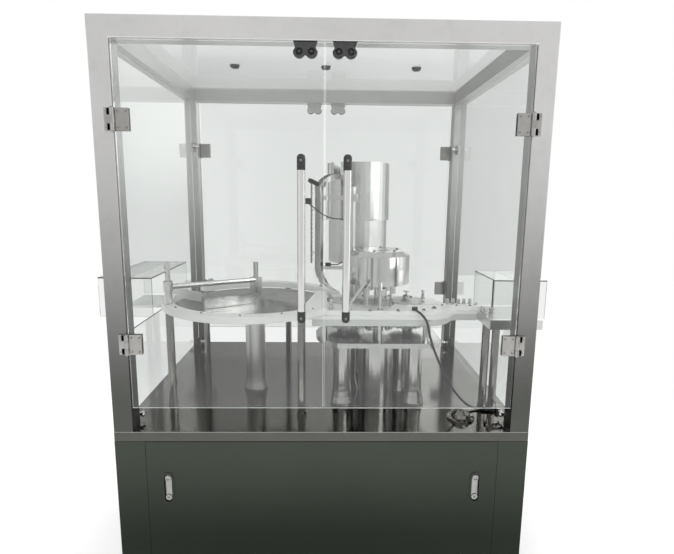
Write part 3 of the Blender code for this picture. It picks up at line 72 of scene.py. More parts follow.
def mathNode(tree, operation, first, second=None, clamp=False):
    made = addNode(tree, "ShaderNodeMath", operation=operation, use_clamp=clamp)
    for socket, value in zip(made.inputs, (first, second)):
        if isinstance(value, bpy.types.NodeSocket):
            tree.links.new(value, socket)
        elif value is not None:
            socket.default_value = value
    return made.outputs[0]


def startGroup(name, inputs, outputs):
    tree = bpy.data.node_groups.new(name, "ShaderNodeTree")
    for label, value in inputs.items():
        socket = tree.interface.new_socket(name=label, in_out="INPUT", socket_type="NodeSocketFloat")
        socket.default_value = value
    for label in outputs:
        tree.interface.new_socket(name=label, in_out="OUTPUT", socket_type="NodeSocketFloat")
    return tree, addNode(tree, "NodeGroupInput"), addNode(tree, "NodeGroupOutput")


# brushing: noise on Object coordinates stretched along the grain, plus broad cloudy patches
def makeBrushing():
    tree, given, made = startGroup("brushing", {"Along X": 1, "Along Y": 1, "Along Z": 1, "Fineness": 300,
                                                "Roughness": 0.3, "Spread": 0.1, "Patches": 0.04},
                                   ("Roughness", "Height", "Shade"))
    place = addNode(tree, "ShaderNodeTexCoord").outputs["Object"]
    stretch = addNode(tree, "ShaderNodeCombineXYZ")
    for label, socket in zip(("Along X", "Along Y", "Along Z"), stretch.inputs):
        tree.links.new(given.outputs[label], socket)
    scaled = addNode(tree, "ShaderNodeVectorMath", operation="MULTIPLY")
    tree.links.new(place, scaled.inputs[0])
    tree.links.new(stretch.outputs[0], scaled.inputs[1])
    lines = addNode(tree, "ShaderNodeTexNoise")
    lines.inputs["Detail"].default_value = 3
    tree.links.new(scaled.outputs[0], lines.inputs["Vector"])
    tree.links.new(given.outputs["Fineness"], lines.inputs["Scale"])
    clouds = addNode(tree, "ShaderNodeTexNoise")
    clouds.inputs["Scale"].default_value = 3.5
    clouds.inputs["Detail"].default_value = 4
    tree.links.new(place, clouds.inputs["Vector"])
    line = mathNode(tree, "SUBTRACT", lines.outputs["Fac"], 0.5)
    cloud = mathNode(tree, "SUBTRACT", clouds.outputs["Fac"], 0.5)
    rough = mathNode(tree, "ADD", given.outputs["Roughness"],
                     mathNode(tree, "MULTIPLY", line, given.outputs["Spread"]))
    rough = mathNode(tree, "ADD", rough, mathNode(tree, "MULTIPLY", cloud, given.outputs["Patches"]), True)
    shade = mathNode(tree, "ADD", mathNode(tree, "MULTIPLY", line, 0.5), mathNode(tree, "MULTIPLY", cloud, 0.8))
    tree.links.new(rough, made.inputs["Roughness"])
    tree.links.new(lines.outputs["Fac"], made.inputs["Height"])
    tree.links.new(mathNode(tree, "ADD", shade, 0.5, True), made.inputs["Shade"])
    return tree


# painted shade by height: 0 at Low and 1 at High along Z, eased; below High the finish darkens as painted shade
def makeHeightShade():
    tree, given, made = startGroup("paintedShadeByHeight", {"Low": 0, "High": 1}, ("Fade",))
    split = addNode(tree, "ShaderNodeSeparateXYZ")
    tree.links.new(addNode(tree, "ShaderNodeTexCoord").outputs["Object"], split.inputs[0])
    ramp = addNode(tree, "ShaderNodeMapRange", interpolation_type="SMOOTHSTEP")
    tree.links.new(split.outputs["Z"], ramp.inputs["Value"])
    tree.links.new(given.outputs["Low"], ramp.inputs["From Min"])
    tree.links.new(given.outputs["High"], ramp.inputs["From Max"])
    tree.links.new(ramp.outputs["Result"], made.inputs["Fade"])
    return tree


# handling marks: sparse soft spots of grime from two noises multiplied together
def makeHandling():
    tree, given, made = startGroup("handling", {"Size": 9, "Amount": 0.5}, ("Mask",))
    place = addNode(tree, "ShaderNodeTexCoord").outputs["Object"]
    masks = []
    for times in (1, 4.3):
        noise = addNode(tree, "ShaderNodeTexNoise")
        noise.inputs["Detail"].default_value = 5
        tree.links.new(place, noise.inputs["Vector"])
        tree.links.new(mathNode(tree, "MULTIPLY", given.outputs["Size"], times), noise.inputs["Scale"])
        masks.append(noise.outputs["Fac"])
    spots = mathNode(tree, "MULTIPLY", mathNode(tree, "SUBTRACT",
                                                mathNode(tree, "MULTIPLY", masks[0], masks[1]), 0.22),
                     4, True)
    tree.links.new(mathNode(tree, "MULTIPLY", spots, given.outputs["Amount"]), made.inputs["Mask"])
    return tree


groups = {"brushing": makeBrushing(), "paintedShadeByHeight": makeHeightShade(), "handling": makeHandling()}


def useGroup(tree, name, values):
    made = addNode(tree, "ShaderNodeGroup", node_tree=groups[name])
    for label, value in values.items():
        made.inputs[label].default_value = value
    return made


def mixColour(tree, factor, first, second):
    made = addNode(tree, "ShaderNodeMix", data_type="RGBA")
    for socket, value in ((made.inputs["Factor"], factor), (made.inputs[6], first), (made.inputs[7], second)):
        if isinstance(value, bpy.types.NodeSocket):
            tree.links.new(value, socket)
        else:
            socket.default_value = value if isinstance(value, float) else (*value, 1)
    return made.outputs[2]


# one finish: base colour varies with the brushing's shade, may darken towards the bottom as painted shade, and
# darkens at handling marks
def makeFinish(name, colour, roughness, metallic=1.0, grain=(1, 1, 1), fineness=300.0, spread=0.1, bump=0.02,
               contrast=0.12, paintedShade=None, marks=0.3, patches=0.05):
    material = bpy.data.materials.new(name)
    material.use_nodes = True
    tree = material.node_tree
    shader = tree.nodes["Principled BSDF"]
    shader.inputs["Metallic"].default_value = metallic
    brushing = useGroup(tree, "brushing", {"Along X": grain[0], "Along Y": grain[1], "Along Z": grain[2],
                                           "Fineness": fineness, "Roughness": roughness, "Spread": spread,
                                           "Patches": patches})
    base = colour
    # painted shade: from High down to Low the colour runs into the darker low colour, darker towards the bottom
    if paintedShade:
        low, high, shadedColour = paintedShade
        height = useGroup(tree, "paintedShadeByHeight", {"Low": low, "High": high})
        base = mixColour(tree, height.outputs["Fade"], shadedColour, colour)
    dark = addNode(tree, "ShaderNodeMix", data_type="RGBA", blend_type="MULTIPLY")
    tree.links.new(brushing.outputs["Shade"], dark.inputs["Factor"])
    if isinstance(base, bpy.types.NodeSocket):
        tree.links.new(base, dark.inputs[6])
    else:
        dark.inputs[6].default_value = (*base, 1)
    dark.inputs[7].default_value = (1 - contrast, 1 - contrast, 1 - contrast, 1)
    handling = useGroup(tree, "handling", {"Size": 9, "Amount": marks})
    marked = addNode(tree, "ShaderNodeMix", data_type="RGBA", blend_type="MULTIPLY")
    tree.links.new(handling.outputs["Mask"], marked.inputs["Factor"])
    tree.links.new(dark.outputs[2], marked.inputs[6])
    marked.inputs[7].default_value = (0.78, 0.77, 0.75, 1)
    tree.links.new(marked.outputs[2], shader.inputs["Base Color"])
    tree.links.new(brushing.outputs["Roughness"], shader.inputs["Roughness"])
    relief = addNode(tree, "ShaderNodeBump")
    relief.inputs["Strength"].default_value = bump
    relief.inputs["Distance"].default_value = 0.001
    tree.links.new(brushing.outputs["Height"], relief.inputs["Height"])
    tree.links.new(relief.outputs["Normal"], shader.inputs["Normal"])
    return material


# clear sheet: transmission with faint cloudy roughness from wiping
def makeClear(name, colour, roughness, ior=1.45):
    material = bpy.data.materials.new(name)
    material.use_nodes = True
    tree = material.node_tree
    shader = tree.nodes["Principled BSDF"]
    shader.inputs["Base Color"].default_value = (*colour, 1)
    shader.inputs["Transmission Weight"].default_value = 1
    shader.inputs["IOR"].default_value = ior
    brushing = useGroup(tree, "brushing", {"Along X": 1, "Along Y": 1, "Along Z": 1, "Fineness": 6,
                                           "Roughness": roughness, "Spread": roughness, "Patches": roughness})
    tree.links.new(brushing.outputs["Roughness"], shader.inputs["Roughness"])
    return material


# the last tuple of a finish (Low, High, low colour) is painted shade: the steel runs darker and greener towards the
# bottom, standing for shade and the floor's reflection
finishes = {
    "frameSteel": makeFinish("frameSteel", (0.76, 0.755, 0.745), 0.34, grain=(14, 14, 0.4), spread=0.16,
                             paintedShade=(0.74, 1.72, (0.09, 0.094, 0.085))),
    "deckSteel": makeFinish("deckSteel", (0.24, 0.235, 0.22), 0.12, grain=(0.4, 14, 14), spread=0.08,
                            contrast=0.2,
                            paintedShade=(0.697, 0.6995, (0.095, 0.095, 0.088)), marks=0.4),
    "cabinetSteel": makeFinish("cabinetSteel", (0.058, 0.066, 0.055), 0.36, grain=(0.4, 14, 14), spread=0.12,
                               contrast=0.15, paintedShade=(0.30, 0.69, (0.020, 0.026, 0.019)), marks=0.2),
    "turnedSteel": makeFinish("turnedSteel", (0.70, 0.70, 0.69), 0.20, grain=(1, 1, 30), fineness=120.0,
                              spread=0.12,
                              paintedShade=(0.70, 1.05, (0.36, 0.36, 0.35))),
    "mirrorSteel": makeFinish("mirrorSteel", (0.74, 0.74, 0.73), 0.10, grain=(14, 14, 0.5), spread=0.06,
                              bump=0.008,
                              contrast=0.08, marks=0.15),
    "satinSteel": makeFinish("satinSteel", (0.74, 0.74, 0.73), 0.34, grain=(1, 1, 30), fineness=120.0,
                             spread=0.1,
                             paintedShade=(0.70, 1.05, (0.36, 0.36, 0.35))),
    "whitePlastic": makeFinish("whitePlastic", (0.95, 0.95, 0.935), 0.40, metallic=0.0, grain=(1, 1, 1),
                               fineness=90.0,
                               spread=0.08, bump=0.03, contrast=0.03, marks=0.1),
    "greyPlastic": makeFinish("greyPlastic", (0.72, 0.73, 0.72), 0.48, metallic=0.0, fineness=90.0, bump=0.03,
                              contrast=0.06),
    "blackPlastic": makeFinish("blackPlastic", (0.022, 0.022, 0.022), 0.42, metallic=0.0, fineness=220.0,
                               bump=0.05,
                               contrast=0.2),
    "cableSheath": makeFinish("cableSheath", (0.03, 0.03, 0.03), 0.5, metallic=0.0, fineness=400.0, bump=0.04),
    "screwSteel": makeFinish("screwSteel", (0.34, 0.34, 0.33), 0.25, grain=(1, 1, 1), fineness=200.0,
                             spread=0.1),
    "bellSteel": makeFinish("bellSteel", (0.66, 0.655, 0.645), 0.13, grain=(1, 1, 40), fineness=90.0,
                            spread=0.08,
                            bump=0.01, contrast=0.08, marks=0.15),
    "tableSteel": makeFinish("tableSteel", (0.37, 0.37, 0.36), 0.20, spread=0.08, fineness=60.0),
    "hingeSteel": makeFinish("hingeSteel", (0.50, 0.49, 0.47), 0.34, grain=(1, 1, 1), fineness=60.0,
                             spread=0.25,
                             contrast=0.3, marks=0.6),
    "latchSteel": makeFinish("latchSteel", (0.36, 0.36, 0.35), 0.34, grain=(1, 1, 1), fineness=80.0,
                             spread=0.15,
                             contrast=0.2),
    # glass edge skins: an opaque pale colour painted on as the glass edges' highlight
    "glassEdgeHighlight": makeFinish("glassEdgeHighlight", (0.66, 0.71, 0.68), 0.25, metallic=0.0, fineness=300.0, bump=0.0,
                            contrast=0.04, marks=0.0),
    "clearGlass": makeClear("clearGlass", (0.87, 0.885, 0.875), 0.004),
    "paleSheet": makeClear("paleSheet", (0.88, 0.89, 0.885), 0.06),
}
print("finishes made:", len(finishes))

# every node's finish; the slots' own materials are replaced object by object
nodeFinish = {
    "frameSteel": ("enclosure_frame",),
    "deckSteel": ("deck_plate",),
    "cabinetSteel": ("cabinet_body", "front_panel", "drive_unit"),
    "clearGlass": ("side_glass_left", "side_glass_right", "front_door_left", "front_door_right",
                   "rear_door_left",
                   "rear_door_right"),
    "paleSheet": ("roof_panel",),
    "latchSteel": ("latch_lever_left", "latch_lever_right"),
    "hingeSteel": (),
    "mirrorSteel": ("handle_left", "handle_right"),
    "tableSteel": ("turntable",),
    "bellSteel": ("turret_bell",),
    "turnedSteel": ("station_stand", "turret_shaft", "cap_bowl",
                    "friction_ring", "press_arm", "cap_chute", "guide_arm", "deflector"),
    "satinSteel": ("bowl_drive", "table_pedestal", "chute_support", "outfeed_tray"),
    "whitePlastic": ("guard_ring_front", "guard_ring_rear", "front_guide", "rear_guide", "top_plate"),
    "greyPlastic": ("under_plate", "infeed_plate", "turret_star", "infeed_star", "outfeed_star"),
    "blackPlastic": ("upper_cap_sensor", "lower_cap_sensor", "probe"),
    "cableSheath": ("upper_sensor_lead", "lower_sensor_lead", "probe_lead"),
}

for level in ("front_lower", "front_upper", "rear_lower", "rear_upper"):
    nodeFinish["hingeSteel"] += (level + "_clamp_left", level + "_clamp_right")
nodeFinish["turnedSteel"] += tuple("spindle_" + str(i + 1) for i in range(6))
for finish, names in nodeFinish.items():
    for name in names:
        for holder in nodes[name].material_slots:
            holder.material = finishes[finish]
left = sorted(set(nodes) - {name for names in nodeFinish.values() for name in names})
print("nodes without a finish:", left)


# surfaces are pairs of arrays, points (n, 3) and faces (m, 4 or 3)
def basis(axis):
    z = np.asarray(axis, float) / np.linalg.norm(axis)
    x = np.cross((0, 1, 0) if abs(z[1]) < 0.9 else (1, 0, 0), z)
    x /= np.linalg.norm(x)
    return np.stack([x, np.cross(z, x), z], 1)


def gridFaces(rows, columns):
    # quads of a grid whose columns close on themselves
    row, column = np.meshgrid(np.arange(rows - 1), np.arange(columns), indexing="ij")
    after = (column + 1) % columns
    return np.stack([row * columns + column, row * columns + after,
                     (row + 1) * columns + after, (row + 1) * columns + column], -1).reshape(-1, 4)


def closeEnds(rings):
    # rings (rows, columns, 3) made a closed shell: the end rings meet in one pole each
    rows, columns = rings.shape[:2]
    points = np.concatenate([rings.reshape(-1, 3), rings[0].mean(0)[None], rings[-1].mean(0)[None]])
    start = np.arange(columns)
    after = (start + 1) % columns
    last = (rows - 1) * columns
    low = np.stack([np.full(columns, rows * columns), after, start], 1)
    high = np.stack([np.full(columns, rows * columns + 1), last + start, last + after], 1)
    return points, [gridFaces(rows, columns), low, high]


def revolve(profile, place, axis=(0, 0, 1), columns=24, hexRows=(), turn=0.0):
    # point(row, angle) = place + radius(row) * (cos, sin) across the axis + height(row) along it;
    # rows named in hexRows have their radius drawn out to a hexagon's outline
    profile = np.asarray(profile, float)
    angle = np.linspace(0, 2 * np.pi, columns, endpoint=False) + turn
    radius = np.repeat(profile[:, :1], columns, 1)
    if len(hexRows):
        flat = np.cos(np.pi / 6) / np.cos((angle - turn) % (np.pi / 3) - np.pi / 6)
        radius[list(hexRows)] *= flat
    local = np.stack([radius * np.cos(angle), radius * np.sin(angle), np.repeat(profile[:, 1:], columns, 1)],
                     -1)
    return closeEnds(local @ basis(axis).T + np.asarray(place, float))


def capScrew(place, axis, size, turn=0.0):
    # socket head screw: rounded head with a hexagonal socket, standing on its seat
    rows = [(size * 0.42, size * 0.35), (size * 0.45, size * 0.85), (size * 0.8, size * 0.95),
            (size * 0.96, size * 0.85),
            (size, size * 0.7), (size, -0.0006)]
    return revolve(rows[::-1], place, axis, 18, hexRows=(4, 5), turn=turn)


def hexBolt(place, axis, size, washer=1.5, turn=0.3):
    # hexagon head with a domed top on a round washer
    rows = [(size * washer, -0.0006), (size * washer, size * 0.18), (size * 1.02, size * 0.22),
            (size, size * 0.26),
            (size, size * 0.9), (size * 0.86, size * 1.06), (size * 0.4, size * 1.12)]
    return revolve(rows, place, axis, 24, hexRows=(3, 4), turn=turn)


def bar(section, path, up=(0, 0, 1), scale=None):
    # section (k, 2) carried along path (n, 3): point = path + u * side + v * top, with side = up x tangent
    section, path = np.asarray(section, float), np.asarray(path, float)
    tangent = np.gradient(path, axis=0)
    tangent /= np.linalg.norm(tangent, axis=1, keepdims=True)
    side = np.cross(np.asarray(up, float)[None], tangent)
    side /= np.linalg.norm(side, axis=1, keepdims=True)
    top = np.cross(tangent, side)
    size = np.ones(len(path)) if scale is None else np.asarray(scale, float)
    rings = (path[:, None] + section[None, :, :1] * size[:, None, None] * side[:, None]
             + section[None, :, 1:] * size[:, None, None] * top[:, None])
    return closeEnds(rings)


def circle(radius, count=16):
    angle = np.linspace(0, 2 * np.pi, count, endpoint=False)
    return np.stack([radius * np.cos(angle), radius * np.sin(angle)], 1)


def softBox(low, high, edge=0.001, axis=2, corner=None):
    # rounded rectangles stacked along one axis, drawn in along a quarter circle at both ends
    low, high = np.asarray(low, float), np.asarray(high, float)
    order = [(axis + 1) % 3, (axis + 2) % 3, axis]
    half = (high - low)[order] / 2
    corner = edge if corner is None else corner
    bend = np.linspace(0, np.pi / 2, 4)
    inset = np.concatenate([edge * (1 - np.sin(bend)), edge * (1 - np.sin(bend))[::-1]])
    level = np.concatenate([-half[2] + edge * (1 - np.cos(bend)), half[2] - edge * (1 - np.cos(bend))[::-1]])
    angle = (np.linspace(0, np.pi / 2, 4)[None] + np.arange(4)[:, None] * np.pi / 2).reshape(-1)
    signs = np.repeat([[1, 1], [-1, 1], [-1, -1], [1, -1]], 4, 0)
    unit = np.stack([np.cos(angle), np.sin(angle)], 1)
    flat = signs[None] * (half[:2] - corner)[None, None] + unit[None] * (corner - inset)[:, None, None]
    rings = np.empty((len(level), 16, 3))
    rings[:, :, order[0]] = flat[:, :, 0]
    rings[:, :, order[1]] = flat[:, :, 1]
    rings[:, :, order[2]] = level[:, None]
    return closeEnds(rings + (low + high) / 2)


def enclosedVolume(points, patches):
    # sum of the tetrahedra from the origin to every triangle
    total = 0.0
    for patch in patches:
        patch = np.asarray(patch)
        for corners in ((0, 1, 2), (0, 2, 3))[:patch.shape[1] - 2]:
            a, b, c = (points[patch[:, corner]] for corner in corners)
            total += np.sum(a * np.cross(b, c)) / 6
    return total


def makePiece(name, parts, finish, body, crease=0.6):
    shift, points, faces = 0, [], []
    for place, patches in parts:
        points.append(place)
        turned = -1 if enclosedVolume(place - place.mean(0), patches) < 0 else 1
        for patch in patches:
            faces += (np.asarray(patch)[:, ::turned] + shift).tolist()
        shift += len(place)
    mesh = bpy.data.meshes.new(name)
    mesh.from_pydata(np.concatenate(points).tolist(), [], faces)
    mesh.materials.append(finishes[finish])
    mesh.shade_smooth()
    mesh.set_sharp_from_angle(angle=crease)
    mesh.validate()
    item = bpy.data.objects.new(name, mesh)
    bpy.context.scene.collection.objects.link(item)
    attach(item, body)
    return item


def cutPlate(outline, low, high, axis=1, edge=0.0006):
    # a flat outline (k, 2) raised along one axis, its ends drawn in along the outline's own normals
    outline = np.asarray(outline, float)
    way = np.roll(outline, -1, 0) - np.roll(outline, 1, 0)
    normal = np.stack([way[:, 1], -way[:, 0]], 1) / np.linalg.norm(way, axis=1, keepdims=True)
    turn = np.sign(np.sum(outline[:, 0] * np.roll(outline[:, 1], -1) - outline[:, 1] * np.roll(outline[:, 0],
                                                                                               -1)))
    inset = np.array([edge, 0.3 * edge, 0, 0, 0.3 * edge, edge])
    level = np.array([low, low + 0.3 * edge, low + edge, high - edge, high - 0.3 * edge, high])
    flat = outline[None] - turn * normal[None] * inset[:, None, None]
    rings = np.empty((6, len(outline), 3))
    rings[:, :, [i for i in range(3) if i != axis]] = flat
    rings[:, :, axis] = level[:, None]
    return closeEnds(rings)


# handles: steel tube, black end caps with a leg to the glass and a sunk screw
handles = {"inset": 0.065, "stand": 0.034, "tube": 0.0115, "cap": 0.0120, "low": 1.061, "footCap": 0.036,
           "topCap": 0.045, "high": 1.545}


def makeHandle(side, name):
    x, y = side * handles["inset"], frontFace - handles["stand"]
    tube, cap = handles["tube"], handles["cap"]
    start, end = handles["low"] + handles["footCap"], handles["high"] - handles["topCap"]
    tubePart = revolve([(tube - 0.0008, start - 0.003), (tube, start - 0.002), (tube, end + 0.002),
                        (tube - 0.0008, end + 0.003)], (x, y, 0), columns=36)
    parts = []
    bend = np.linspace(0, np.pi / 2, 7)[:-1]
    for foot, tip in ((start, handles["low"]), (end, handles["high"])):
        way = np.sign(tip - foot)
        dome = tip - way * cap * 0.9
        rows = [(cap - 0.0010, foot), (cap, foot + way * 0.0008), (cap, foot + way * 0.0060),
                (cap - 0.0006, foot + way * 0.0066), (cap - 0.0006, foot + way * 0.0074),
                (cap, foot + way * 0.0080),
                (cap, dome)]
        rows += list(np.stack([cap * np.cos(bend[1:]), dome + way * 0.9 * cap * np.sin(bend[1:])], 1))
        parts.append(revolve(rows, (x, y, 0), columns=36))
        low, high = sorted((foot + way * 0.007, dome + way * 0.002))
        parts.append(softBox((x - 0.0078, y, low), (x + 0.0078, frontFace - 0.0004, high), 0.0008, 1, 0.005))
    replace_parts(makePiece("handleTube_" + name, [tubePart], "mirrorSteel", name + "_front_door"),
                "handle_" + name)
    makePiece("handleCaps_" + name, parts, "blackPlastic", name + "_front_door")
    screws = [capScrew((x, y - 0.0091, z), (0, -1, 0), 0.0034) for z in (handles["low"] + 0.016,
                                                                         handles["high"] - 0.018)]
    makePiece("handleScrews_" + name, screws, "screwSteel", name + "_front_door")


for side, name in ((-1, "left"), (1, "right")):
    makeHandle(side, name)

# door catches: black two-lobed plates over the welded ones, with two pale bosses each
catches = {"inset": 0.055, "half": 0.0344, "drop": 0.0454, "top": 1.8515, "boss": 0.0098}


def makeCatches():
    half, drop, lobe = catches["half"], catches["drop"], catches["half"] / 2
    plates, bosses = [], []
    for outward, face in ((-1, frontFace), (1, rearFace)):
        near, far = face - outward * 0.0062, face - outward * 0.0184
        for x in (-catches["inset"], catches["inset"]):
            low = catches["top"] - drop + lobe
            left, right = np.radians(np.linspace(180, 330, 9)), np.radians(np.linspace(210, 360, 9))
            outline = np.concatenate([
                [(x + half, catches["top"]), (x - half, catches["top"]),
                 (x - 0.82 * half, catches["top"] - 0.4 * drop)],
                np.stack([x - lobe + lobe * np.cos(left), low + lobe * np.sin(left)], 1),
                np.stack([x + lobe + lobe * np.cos(right), low + lobe * np.sin(right)], 1),
                [(x + 0.82 * half, catches["top"] - 0.4 * drop)]])
            plates.append(cutPlate(outline, min(near, far), max(near, far)))
            size = catches["boss"]
            for place in (x - lobe, x + lobe):
                rows = [(size, -0.001), (size, 0.0022), (size * 0.9, 0.0030), (size * 0.45, 0.0030),
                        (size * 0.4, 0.0012)]
                bosses.append(revolve(rows, (place, far, low), (0, -outward, 0)))
                disc = [(size, 0.002), (size, -0.0002), (size * 0.4, -0.0002), (size * 0.35, 0.0006)]
                bosses.append(revolve(disc, (place, near, low), (0, -outward, 0)))
    makePiece("catchPlates", plates, "blackPlastic", "frame")
    makePiece("catchBosses", bosses, "turnedSteel", "frame")


makeCatches()

# hinge screws: four on each clamp plate, two on each post leaf, and a domed end on each pin
hinges = {"heights": (0.983, 1.635), "pin": 0.590, "face": 0.0053, "stand": 0.008, "screw": 0.0030,
          "half": 0.031,
          "lift": 0.022, "postScrews": 0.0165, "doorScrews": (-0.014, -0.037)}
pinEnd = [(0.0042, -0.001), (0.0042, 0.0016), (0.0034, 0.0030), (0.0015, 0.0036)]


def makeHinges():
    fixed = []
    for outward, face, place in ((-1, frontFace, "front"), (1, rearFace, "rear")):
        for side, name in ((-1, "left"), (1, "right")):
            moving = []
            for height in hinges["heights"]:
                y = face + outward * hinges["face"]
                for offset in (hinges["postScrews"], *hinges["doorScrews"]):
                    group = fixed if offset > 0 else moving
                    for lift in (-hinges["lift"], hinges["lift"]):
                        group.append(capScrew((side * (hinges["pin"] + offset), y, height + lift),
                                              (0, outward, 0),
                                              hinges["screw"], turn=lift * 40 + offset * 30))
                for way in (-1, 1):
                    end = (side * hinges["pin"], face + outward * hinges["stand"],
                           height + way * hinges["half"])
                    fixed.append(revolve(pinEnd, end, (0, 0, way), 18))
            makePiece(place + "HingeScrews_" + name, moving, "screwSteel", "_".join((name, place, "door")))
    makePiece("hingeScrews", fixed, "screwSteel", "frame")


makeHinges()

# hinge leaves on the posts: plate and two knuckles each, drawn over the welded ones
leaves = {"near": 0.0067, "far": 0.0243, "thick": 0.0056, "knuckle": 0.0067, "inward": 0.0003, "third": 0.0206,
          "over": 0.0003, "sunk": 0.0002, "bridge": 0.016}


def makeHingeLeaves():
    parts = []
    over, radius, third = leaves["over"], leaves["knuckle"], leaves["third"]
    half = hinges["half"] + over
    for outward, face in ((-1, frontFace), (1, rearFace)):
        depth = sorted((face - outward * leaves["sunk"], face + outward * leaves["thick"]))
        axis = face + outward * (hinges["stand"] - leaves["inward"])
        for side in (-1, 1):
            plate = sorted(side * (hinges["pin"] + leaves[key]) for key in ("near", "far"))
            bridge = sorted((side * hinges["pin"], side * (hinges["pin"] + leaves["bridge"])))
            for height in hinges["heights"]:
                parts.append(softBox((plate[0], depth[0], height - half), (plate[1], depth[1], height + half),
                                     0.0012, 2, 0.0015))
                for low, high in ((height - half, height - half + third - over),
                                  (height + half - third + over, height + half)):
                    rows = [(radius - 0.0006, low), (radius, low + 0.0005), (radius, high - 0.0005),
                            (radius - 0.0006, high)]
                    parts.append(revolve(rows, (side * hinges["pin"], axis, 0), columns=24))
                    parts.append(softBox((bridge[0], depth[0], low + 0.0002),
                                         (bridge[1], depth[1], high - 0.0002),
                                         0.0006))
    makePiece("hingeLeaves", parts, "hingeSteel", "frame")


makeHingeLeaves()

# latch levers: rounded bar with a boss at both ends, the upper one with a keyhole
latches = {"x": 0.490, "z": 0.5097, "width": 0.022, "half": 0.044, "boss": 0.0104, "bossAt": 0.0330,
           "front": 0.0030, "back": 0.0089, "slot": 0.0062, "slotWide": 0.0008, "slotOut": 0.0027,
           "holeOut": 0.0020}


def makeLatches():
    x, z, radius, size = latches["x"], latches["z"], latches["width"] / 2, latches["boss"]
    front, facing = frontFace + latches["front"], (0, -1, 0)
    boss = [(size, -0.002), (size, 0.0012), (size * 0.94, 0.0022), (size * 0.55, 0.0028), (size * 0.5, 0.0020),
            (size * 0.2, 0.0020)]
    angle = np.linspace(0, 2 * np.pi, 40, endpoint=False)
    lift = np.sign(np.sin(angle + 1e-6)) * (latches["half"] - radius)
    bend = np.radians(np.linspace(200, 340, 12))
    upper, lower = z + latches["bossAt"], z - latches["bossAt"]
    for side, name in ((-1, "left"), (1, "right")):
        outline = np.stack([side * x + radius * np.cos(angle), z + radius * np.sin(angle) + lift], 1)
        parts = [cutPlate(outline, front, frontFace + latches["back"], edge=0.0016)]
        parts += [revolve(boss, (side * x, front, level), facing, 36) for level in (lower, upper)]
        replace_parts(makePiece("latchLever_" + name, parts, "latchSteel", name + "_latch"),
                    "latch_lever_" + name)
        path = np.stack([side * x + latches["slot"] * np.cos(bend), np.full(12, front - latches["slotOut"]),
                         upper + latches["slot"] * np.sin(bend)], 1)
        slot = bar(circle(latches["slotWide"], 8), path, facing)
        hole = revolve([(0.0024, -0.001), (0.0024, 0.0003), (0.0018, 0.0005)],
                       (side * x, front - latches["holeOut"], lower), facing, 18)
        makePiece("latchKeyhole_" + name, [slot, hole], "blackPlastic", name + "_latch")


makeLatches()

# knobs on the side glass clamps, and a bright steel strip along the deck's folded front edge, a painted highlight
glassClamps = {"face": 0.6047, "places": ((-0.3825, 0.721), (0.4145, 0.721), (0.4145, 1.645)), "knobUp": 0.004,
               "boltBack": 0.011, "boltDown": 0.010, "bolt": 0.0042}
clampKnob = [(0.0105, -0.001), (0.0105, 0.0030), (0.0060, 0.0040), (0.0055, 0.0140), (0.0088, 0.0150),
             (0.0096, 0.0175), (0.0096, 0.0225), (0.0080, 0.0250), (0.002, 0.0256)]
deckEdgeHighlight = {"half": 0.6492, "low": 0.6984, "high": 0.70025, "proud": 0.0002, "thick": 0.0018}


def makeClampKnobs():
    parts = []
    for side in (-1, 1):
        face, inward = side * glassClamps["face"], (-side, 0, 0)
        for y, z in glassClamps["places"]:
            parts.append(revolve(clampKnob, (face, y, z + glassClamps["knobUp"]), inward, 32))
            parts.append(hexBolt((face, y + glassClamps["boltBack"], z - glassClamps["boltDown"]), inward,
                                 glassClamps["bolt"]))
    makePiece("glassClampKnobs", parts, "mirrorSteel", "frame")
    # painted highlight: the strip's bright steel stands for the light caught along the deck's edge
    front = frontFace - deckEdgeHighlight["proud"]
    strip = softBox((-deckEdgeHighlight["half"], front, deckEdgeHighlight["low"]),
                    (deckEdgeHighlight["half"], front + deckEdgeHighlight["thick"], deckEdgeHighlight["high"]), 0.0003, 0, 0.0006)
    makePiece("deckEdgeHighlight", [strip], "satinSteel", "frame")


makeClampKnobs()
print("doors and latches dressed")

# turret bell: one turned shell with a rolled rim, its bevel and six seat screws
bell = {"centre": (0.190, -0.152), "top": 1.243, "shoulder": 1.227, "rim": 1.127, "radius": 0.1135,
        "wall": 0.006,
        "face": 0.093, "screws": 0.074}


def makeBell():
    x, y = bell["centre"]
    radius, inner, top, face = bell["radius"], bell["radius"] - bell["wall"], bell["top"], bell["face"]
    rows = [(0.002, top - 0.0004), (0.030, top - 0.0004), (0.031, top), (face - 0.0016, top),
            (face - 0.0004, top - 0.0004),
            (face + 0.0010, top - 0.0014), (radius - 0.0016, bell["shoulder"] + 0.0012),
            (radius - 0.0004, bell["shoulder"] - 0.0002), (radius, bell["shoulder"] - 0.0016),
            (radius, bell["rim"] + 0.012),
            (radius - 0.0005, bell["rim"] + 0.0115), (radius - 0.0005, bell["rim"] + 0.0105),
            (radius, bell["rim"] + 0.010),
            (radius, bell["rim"] + 0.0008), (radius - 0.0008, bell["rim"]), (inner + 0.0008, bell["rim"]),
            (inner, bell["rim"] + 0.0008), (inner, bell["shoulder"] - 0.002),
            (face - 0.003, top - bell["wall"]),
            (0.002, top - bell["wall"])]
    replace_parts(makePiece("turretBell", [revolve(rows, (x, y, 0), columns=112)], "bellSteel", "turret", 0.45),
                "turret_bell")
    angle = np.radians(np.arange(6) * 60 + 15)
    spots = np.stack([x + bell["screws"] * np.cos(angle), y + bell["screws"] * np.sin(angle),
                      np.full(6, top)], 1)
    makePiece("bellScrews", [capScrew(spot, (0, 0, 1), 0.005) for spot in spots], "screwSteel", "turret")


makeBell()

